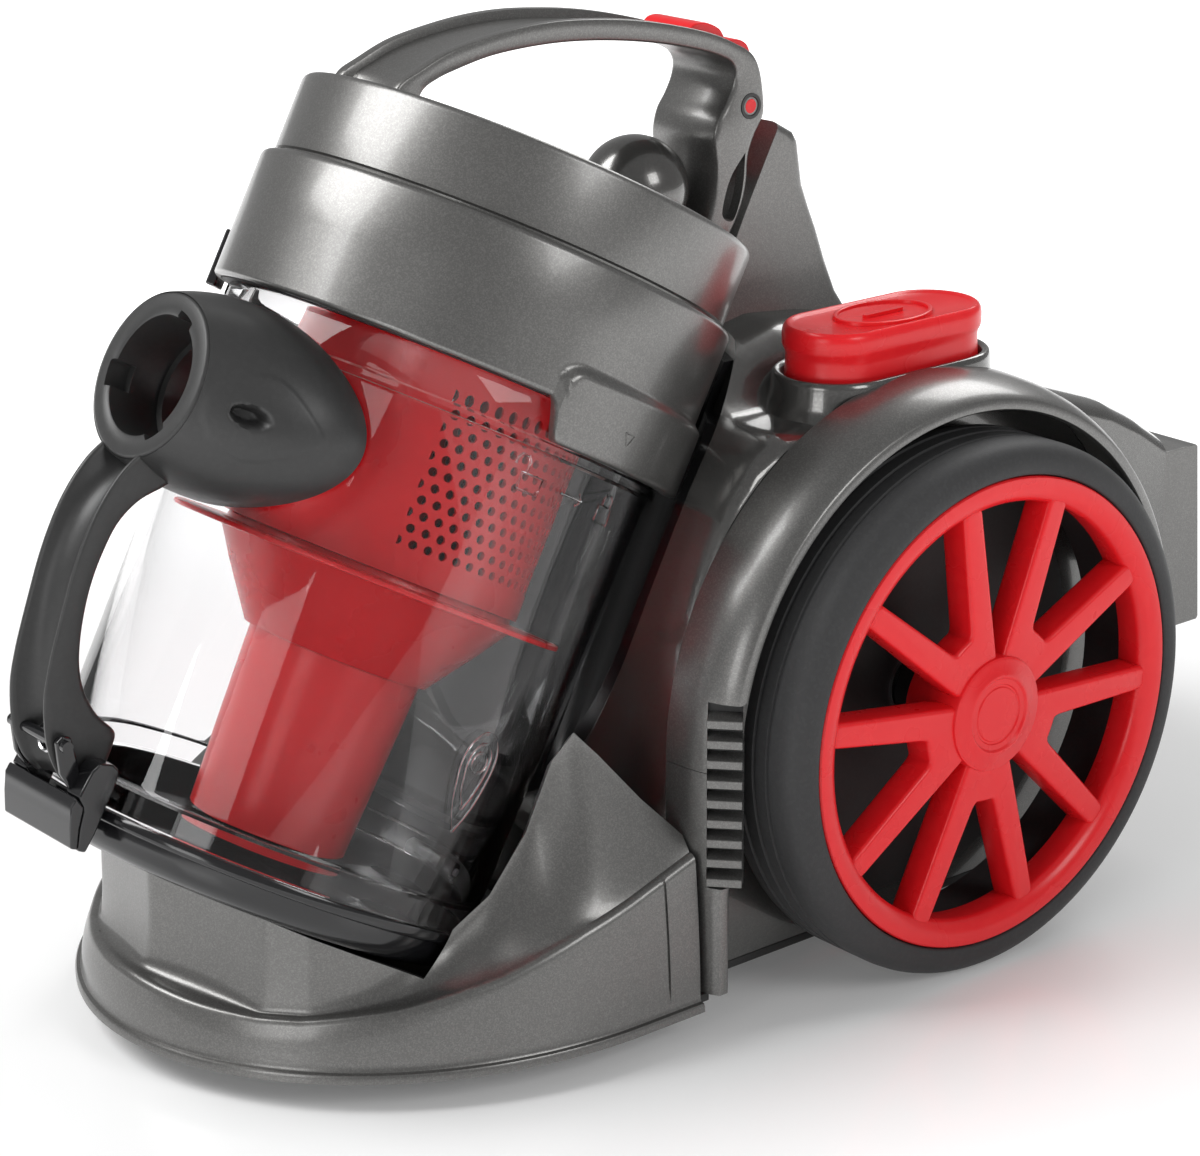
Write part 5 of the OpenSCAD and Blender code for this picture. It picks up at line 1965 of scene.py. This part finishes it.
@dataclass
class Lid:
    """Two-step grey lid with lock blocks, an arrow, the dome and the clip (cup frame)."""

    low_r: float = 84.3
    top_r: float = 80.7
    bore_r: float = 81.3
    low: float = 175.0
    step: float = 220.0
    top: float = 248.0
    block_low: float = 161.6
    block_high: float = 187.5
    block_rise: float = 2.6
    block_corner: float = 8.0
    # azimuths where each lock block starts and ends
    blocks: tuple = ((74.0, 140.0), (254.0, 298.0))
    steps: int = 384
    dome_r: float = 19.0
    dome_at: tuple[float, float, float] = (0.0, 48.0, 258.0)
    arrow_azimuth: float = 96.0

    def _run(self, azimuth: float) -> float:
        """Returns how far inside a lock block's ends an azimuth is, in millimetres."""
        inside = max(min(azimuth - start, end - azimuth) for start, end in self.blocks)
        return math.radians(inside) * self.low_r

    def _rise(self, azimuth: float, s: float) -> float:
        """How far a lock block stands out, with round upper corners and soft edges.

        Args:
            azimuth: degrees from the front towards +x.
            s: height.

        Returns:
            Millimetres outwards.
        """
        across, under = self._run(azimuth), self.block_high - s
        corner = self.block_corner
        if across < corner and under < corner:
            depth = corner - math.hypot(corner - across, corner - under)
        else:
            depth = min(across, under)
        return self.block_rise * smooth_step(depth, 0.0, 2.8)

    def _ring(self) -> Solid:
        """Builds the lower step with its two lock blocks.

        Returns:
            The solid.
        """
        rings = []
        for k in range(self.steps):
            azimuth = 360.0 * k / self.steps
            inside = smooth_step(self._run(azimuth), 0.0, 6.5)
            foot = self.low + (self.block_low - self.low) * inside
            heights = [foot + 0.0, foot + 0.5, foot + 1.2]
            heights += [foot + 1.2 + (self.block_high + 1 - foot - 1.2) * j / 26 for j in range(1, 27)]
            heights += [200.0, self.step - 2.2]
            profile = []
            for j, s in enumerate(heights):
                rise = self._rise(azimuth, s)
                trim = (1.2, 0.35, 0.0)[j] if j < 3 else 0.0
                profile.append((self.low_r + rise - trim, s))
            profile += [(self.low_r - 0.4, self.step - 1.0), (self.low_r - 1.3, self.step - 0.2),
                        (self.top_r + 0.6, self.step), (60.0, self.step), (60.0, 216.0), (self.bore_r, 216.0),
                        (self.bore_r, 200.0), (self.bore_r, foot + 1.0), (self.bore_r + 0.6, foot)]
            a = math.radians(azimuth)
            rings.append([Vector((r * math.sin(a), -r * math.cos(a), s)) for r, s in profile])
        return Solid().skin(rings, loop=True)

    def _cap(self) -> Solid:
        """Builds the upper step with its shallow top.

        Returns:
            The solid.
        """
        r = self.top_r
        low, high = self.step, self.top
        profile = [(0, high - 7.0), (r - 3.2, high - 7.0), (r - 3.0, low + 0.1), (r - 0.9, low + 0.1),
                   (r - 0.8, low + 0.9), (r, low + 1.6), (r, high - 2.2), (r - 0.3, high - 1.0),
                   (r - 1.0, high - 0.2), (r - 2.0, high), (r - 2.9, high - 0.3), (r - 3.5, high - 1.2),
                   (r - 4.2, high - 2.2), (r - 6.0, high - 3.0), (0, high - 3.0)]
        return Solid().revolve(profile, 192)

    def _dome(self) -> Solid:
        """Builds the dark dome with its seating ring.

        Returns:
            The solid.
        """
        r = self.dome_r
        profile = [(0.0, -12.8), *[polar(r, t) for t in range(-42, 90, 6)], (0.0, r)]
        seat = [(14.2, -12.6), (19.4, -12.6), (19.6, -11.6), (18.6, -10.6), (14.2, -10.6)]
        dome = Solid().revolve(profile, 72).include(Solid().revolve(seat, 72))
        return dome.moved(Matrix.Translation(self.dome_at))

    def _arrow(self) -> Solid:
        """Builds the small triangle that lines the lid up with the locks.

        Returns:
            The solid.
        """
        r = self.low_r + self.block_rise
        path = []
        for across, s in ((-2.2, 173.6), (2.2, 173.6), (0.0, 169.6), (-2.2, 173.6)):
            a = math.radians(self.arrow_azimuth) + across / r
            path.append(Vector((r * math.sin(a), -r * math.cos(a), s)))
        return Solid().tube(path, 0.35, 6)

    def build(self) -> None:
        """Makes the lid's pieces."""
        place, world = Workshop.places.cup, Workshop.places.world
        Workshop.piece("lid_skirt", self._ring(), place, Finishes.SHELL, Body.LID, ("lid_ring",),
                       Look(angle=40.0))
        Workshop.piece("lid_arrow", self._arrow(), place, Finishes.SHELL, Body.LID)
        Workshop.piece("lid_top", self._cap(), place, Finishes.SHELL, Body.LID, ("lid_cap",), Look(angle=40.0))
        Workshop.piece("lid_bulb", self._dome(), place, Finishes.SHELL_GLOSS, Body.LID, ("lid_dome",),
                       Look(angle=50.0))
        Workshop.piece("front_clip", from_node("lid_clip"), world, Finishes.BLACK, Body.LID, ("lid_clip",),
                       Look(bevel=0.7))
        Workshop.dress(Finishes.SEAL, "lid_gasket")


@dataclass
class CarryHandle:
    """Arched handle of channel section that turns down into a post, and its button (cup frame)."""

    half: float = 17.3
    rib: float = 4.2
    count: int = 120
    post: float = 12.5
    # outer y, outer s, inner y, inner s
    stations: tuple = ((-76.2, 245.3, -65.6, 245.3), (-74.8, 250.4, -65.2, 252.0), (-70.6, 255.8, -61.3, 257.4),
                       (-61.8, 266.2, -56.6, 261.9), (-50.0, 276.0, -46.0, 270.9), (-37.4, 285.0, -34.0, 278.8),
                       (-24.0, 292.8, -20.8, 286.2), (-9.6, 299.5, -7.0, 292.7), (5.8, 305.6, 8.0, 298.7),
                       (22.4, 310.8, 23.8, 304.0), (40.0, 315.0, 41.0, 308.4), (52.6, 316.2, 50.5, 309.6),
                       (60.5, 316.0, 54.6, 308.9), (66.6, 312.5, 57.2, 306.6), (72.6, 305.5, 58.6, 302.0),
                       (76.0, 299.4, 58.6, 296.0), (75.6, 291.6, 57.9, 289.5), (76.6, 284.0, 59.8, 282.4),
                       (80.4, 275.6, 65.0, 274.7), (82.3, 267.0, 68.4, 267.0), (82.0, 257.0, 70.4, 258.0),
                       (79.0, 250.6, 71.0, 250.4), (77.6, 245.3, 71.0, 245.3))
    slot: tuple = ((74.4, 284.6), (72.4, 276.0), (72.9, 268.5), (75.4, 261.2), (80.6, 261.4), (80.6, 268.0),
                   (78.6, 275.4), (75.6, 282.0))
    humps: tuple = ((33.5, 311.6), (35.0, 315.6), (39.5, 318.2), (45.9, 318.9), (49.4, 317.6), (51.2, 316.2),
                    (54.1, 318.2), (58.9, 319.3), (63.0, 317.8), (68.0, 311.6), (72.0, 305.0), (74.4, 299.0),
                    (74.0, 290.0), (74.6, 283.4), (72.6, 283.0), (71.0, 292.0), (66.0, 299.0), (58.0, 308.0),
                    (50.0, 312.6), (40.0, 311.8))
    pin: Pair = (68.7, 299.8)

    def _arch(self) -> Solid:
        """Builds the arch and post as one swept channel, with the side slot.

        Returns:
            The solid.
        """
        outs = spline([row[:2] for row in self.stations], self.count)
        ins = spline([row[2:] for row in self.stations], self.count)
        last = len(self.stations) - 1
        inner = (self.half - self.rib) / self.half
        rings = []
        for k, (high, low) in enumerate(zip(outs, ins)):
            floor = 0.55 - 0.28 * smooth_step(k / (self.count - 1) * last, self.post, self.post + 2)
            side = [(0.9, 0.0), (0.965, 0.03), (1.0, 0.12), (1.0, 0.9), (0.985, 0.98), (0.96, 1.0),
                    (inner + 0.05, 1.0), (inner + 0.015, 0.98), (inner, 0.9), (inner - 0.02, floor + 0.05),
                    (inner - 0.08, floor)]
            section = side + [(-x, q) for x, q in reversed(side)]
            rings.append([Vector((x * self.half, low.x + (high.x - low.x) * q, low.y + (high.y - low.y) * q))
                          for x, q in section])
        arch = Solid().skin(rings)
        hole = [(p.x, p.y) for p in spline([*self.slot, self.slot[0]], 49)][:-1]
        return arch.cut(Solid().slab(hole, -self.half - 3, self.half + 3))

    def _pin(self) -> tuple[Solid, Solid]:
        """Builds the pin's ends and the rims round them.

        Returns:
            The pin and the rims.
        """
        turn = about_x((0, *self.pin))
        end = self.half
        rod = Solid().revolve([(0, -end - 0.1), (2.4, -end - 0.1), (3.0, 0.5 - end), (3.0, end - 0.5),
                               (2.4, end + 0.1), (0, end + 0.1)], 32)
        rims = Solid()
        for low in (-end - 0.35, end - 0.9):
            rims.include(Solid().revolve([(3.05, low), (4.5, low), (4.7, low + 0.6), (4.5, low + 1.25),
                                          (3.4, low + 1.25), (3.05, low + 0.8)], 36))
        return rod.moved(turn), rims.moved(turn)

    def build(self) -> None:
        """Makes the handle, its button and its pin."""
        place = Workshop.places.cup
        Workshop.piece("carry_arch", self._arch(), place, Finishes.SHELL, Body.LID, ("lid_handle",),
                       Look(angle=50.0))
        outline = [(p.x, p.y) for p in spline([*self.humps, self.humps[0]], 97)][:-1]
        Workshop.piece("lid_release", Solid().slab(outline, -12.4, 12.4), place, Finishes.RED, Body.RELEASE,
                       ("release_button",), Look(bevel=1.2, segments=3, angle=50.0))
        rod, rims = self._pin()
        Workshop.piece("button_pin", rod, place, Finishes.RED, Body.LID, ("release_pin",))
        Workshop.piece("pin_rims", rims, place, Finishes.DARK, Body.LID)


# ------------------------------------------------------------------ inside

@dataclass
class InnerParts:
    """Motor, reel, switch and other parts hidden in the body, dressed as they are."""

    dark: tuple = ("motor_cup", "cable_reel")
    black: tuple = ("motor_seal", "power_switch", "cable_gland")
    steel: tuple = ("motor_can", "reel_axle")
    pleats: int = 24

    def build(self) -> None:
        """Dresses the hidden nodes and makes the pleated filter."""
        Workshop.dress(Finishes.DARK, *self.dark)
        Workshop.dress(Finishes.BLACK, *self.black)
        Workshop.dress(Finishes.STEEL, *self.steel, "motor_rotor")
        Workshop.dress(Finishes.BOARD, "circuit_board")
        low, high = (Vector(corner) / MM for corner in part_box("exhaust_filter"))
        size = high - low
        pitch = (size.x - 8) / self.pleats
        fold = Solid().slab([(0, 0), (size.y - 8, 0), (size.y - 8, 1), (0, 1)], 0, pitch)
        crest = ((0, 0), (pitch / 2, size.z - 5), (pitch, 0), (pitch / 2 + 0.01, size.z - 6))
        fold.include(Solid().skin([[Vector((x, y, z)) for x, z in crest] for y in (4.0, size.y - 4.0)]))
        leaves = Workshop.repeat.lay(fold, rows=self.pleats, step=(pitch, 0, 0), finish=Finishes.FILTER)
        tray = Solid().block(0, size.x, 0, size.y, 0.0, 3.0)
        for x0, x1, y0, y1 in ((0, size.x, 0, 3), (0, size.x, size.y - 3, size.y), (0, 3, 0, size.y),
                               (size.x - 3, size.x, 0, size.y)):
            tray.include(Solid().block(x0, x1, y0, y1, 0.0, size.z))
        tray.include(leaves.moved(Matrix.Translation((4, 0, 3))))
        Workshop.piece("pleated_filter", tray, Matrix.Translation(low), Finishes.FILTER, Body.CHASSIS,
                       ("exhaust_filter",))


def main() -> None:
    """Builds the whole machine in order."""
    logging.basicConfig(level=logging.INFO, format="%(name)s: %(message)s")
    Workshop.open()
    Studio().build()
    parts = [FrontSkirt(), RearBody(), *[WheelArch(side) for side in Side],
             *[RoadWheel(side) for side in Side], Caster(), FootPedal(Side.RIGHT, Mark.POWER),
             FootPedal(Side.LEFT, Mark.REWIND), DustCup(), Cyclone(), InletHorn(), CupGrip(),
             BottomFlap(), Lid(), CarryHandle(), InnerParts()]
    for part in parts:
        LOG.info("building %s", type(part).__name__)
        part.build()


if __name__ == "__main__":
    main()
